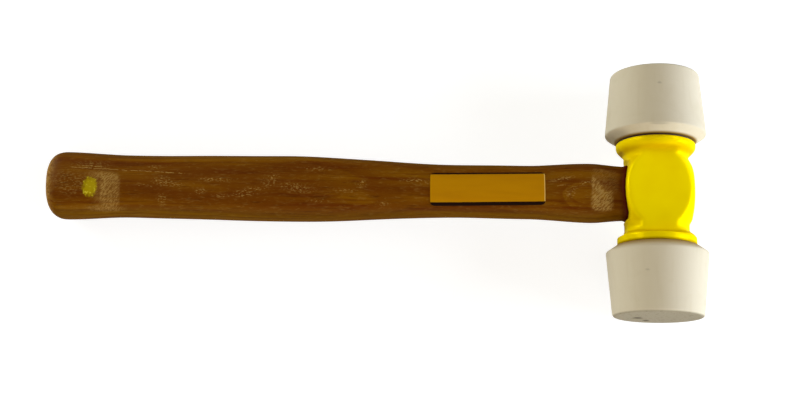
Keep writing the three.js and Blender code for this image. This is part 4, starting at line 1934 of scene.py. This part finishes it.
@dataclass(frozen=True)
class Studio:
    """Pale floor, low soft light from three sides, two glints, a dim warm room, and the camera.

    The camera's place is in millimetres of the mallet's own frame.
    """

    image_width: float = 800.0
    focal_pixels: float = 1182.6
    sensor_width: float = 36.0
    camera_place: Triple = (-85.52, -144.9, 590.88)
    pitch: float = math.radians(-13.286)
    yaw: float = math.radians(-4.328)
    roll: float = math.radians(-1.885)
    lamps: tuple[Lamp, ...] = (
        Lamp("right_window", (1.25, -0.14, 0.26), 0.8, 0.8, 20.6, (0.86, 0.94, 1.0)),
        Lamp("left_window", (-1.045, 0.7, 0.25), 0.7, 0.7, 12.4, (0.95, 1.0, 0.92)),
        Lamp("front_window", (0.1, -1.1, 0.33), 2.0, 0.6, 8.4, (1.0, 0.95, 0.82)),
        Lamp("left_glint", (-0.83, 0.35, 0.7), 0.4, 0.4, 2.6, WHITE, glint=True),
        Lamp("right_glint", (1.06, 0.35, 0.8), 0.4, 0.4, 2.6, WHITE, glint=True),
    )
    room_colour: Colour = (1.0, 0.82, 0.5)
    room_strength: float = 0.31
    floor_size: float = 8.0
    floor_colour: Colour = (0.78, 0.78, 0.78)
    floor_glow: float = 0.79
    floor_shade: Colour = (0.42, 0.44, 0.5)

    def camera(self, lie: Lie) -> None:
        """Places the camera where the photograph was taken from.

        Args:
            lie: How the mallet lies.
        """
        data = bpy.data.cameras.new("camera")
        data.sensor_width = self.sensor_width
        data.lens = self.sensor_width * self.focal_pixels / self.image_width
        data.clip_start, data.clip_end = 0.01, 50.0
        camera = linked("camera", data)
        look = (
            Matrix.Rotation(self.roll, 4, "Z")
            @ Matrix.Rotation(self.pitch, 4, "X")
            @ Matrix.Rotation(self.yaw, 4, "Y")
        )
        place = lie.matrix @ Vector(self.camera_place)
        camera.matrix_world = Matrix.Translation(place) @ lie.turn @ look.inverted()
        bpy.context.scene.camera = camera

    def shown(self, nodes: Nodes, lit: Wire, white: Wire) -> Wire:
        """White for rays that show a background: straight from the camera, mirrored or through glass.

        Args:
            nodes: Node tree of the floor or the room.
            lit: What lights the object.
            white: What those rays see.

        Returns:
            The mix of both.
        """
        ray = nodes.add("ShaderNodeLightPath", {}).outputs
        seen = nodes.math("MAXIMUM", ray["Is Camera Ray"], ray["Is Glossy Ray"])
        seen = nodes.math("MAXIMUM", seen, ray["Is Transmission Ray"])
        return nodes.wire("ShaderNodeMixShader", {0: seen, 1: lit, 2: white})

    def floor(self) -> None:
        """White floor that keeps the shadow."""
        half = self.floor_size / 2
        mesh = bpy.data.meshes.new("floor")
        corners = [(-half, -half, 0), (half, -half, 0), (half, half, 0), (-half, half, 0)]
        mesh.from_pydata(corners, [], [(0, 1, 2, 3)])
        material = bpy.data.materials.new("floor_white")
        material.use_nodes = True
        material.node_tree.nodes.clear()
        nodes = Nodes(material.node_tree)
        plain = nodes.wire("ShaderNodeBsdfDiffuse", {"Color": self.floor_colour})
        shade = nodes.wire("ShaderNodeBsdfDiffuse", {"Color": self.floor_shade})
        glow = nodes.wire("ShaderNodeEmission", {"Color": WHITE, "Strength": self.floor_glow})
        white = nodes.wire("ShaderNodeAddShader", {0: shade, 1: glow})
        nodes.add("ShaderNodeOutputMaterial", {0: self.shown(nodes, plain, white)})
        floor = linked("floor", mesh)
        mesh.materials.append(material)

    def light(self) -> None:
        """Lamps, and a dim warm room that shows as white."""
        for lamp in self.lamps:
            lamp.build()
        world = bpy.data.worlds.new("room")
        world.use_nodes = True
        world.node_tree.nodes.clear()
        nodes = Nodes(world.node_tree)
        feeds = {"Color": self.room_colour, "Strength": self.room_strength}
        room = nodes.wire("ShaderNodeBackground", feeds)
        white = nodes.wire("ShaderNodeBackground", {"Color": WHITE, "Strength": 1.0})
        nodes.add("ShaderNodeOutputWorld", {0: self.shown(nodes, room, white)})
        bpy.context.scene.world = world

    def build(self, lie: Lie) -> None:
        """Sets up the whole studio.

        Args:
            lie: How the mallet lies.
        """
        self.camera(lie)
        self.floor()
        self.light()
        bpy.context.scene.view_settings.view_transform = "Standard"


def main() -> None:
    """Builds the studio and the mallet."""
    logging.basicConfig(level=logging.INFO, format="%(name)s %(message)s")
    lie = Lie.from_frame()
    LOG.info("head centre %s, slope %.4f degrees", lie.centre[:], math.degrees(lie.slope))
    Studio().build(lie)
    fits = Fits()
    hickory = HickoryFinish().build(lie)
    handle = HickoryHandle(fits).build()
    Label().build(lie, LabelFinish().build(lie), handle)
    settle(handle, lie, "mallet", Slot.HICKORY, hickory, "handle")
    EnamelHead(fits).build(lie, EnamelFinish().build(lie))
    dress_wedges(lie)
    rubber = RubberFinish().build(lie)
    steel = SteelFinish("stud_steel", (0.4, 6.0, 0.4)).build(lie)
    fibre = FIBRE_FINISH.build(lie)
    HeadEnd(End.UPPER, fits, UPPER_NICKS, bevel_grime_and_shade_depth=0.8).build(lie, rubber, steel, fibre)
    HeadEnd(End.LOWER, fits, LOWER_NICKS, bevel_grime_and_shade_depth=5.0).build(lie, rubber, steel, fibre)
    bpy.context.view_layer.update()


if __name__ == "__main__":
    main()
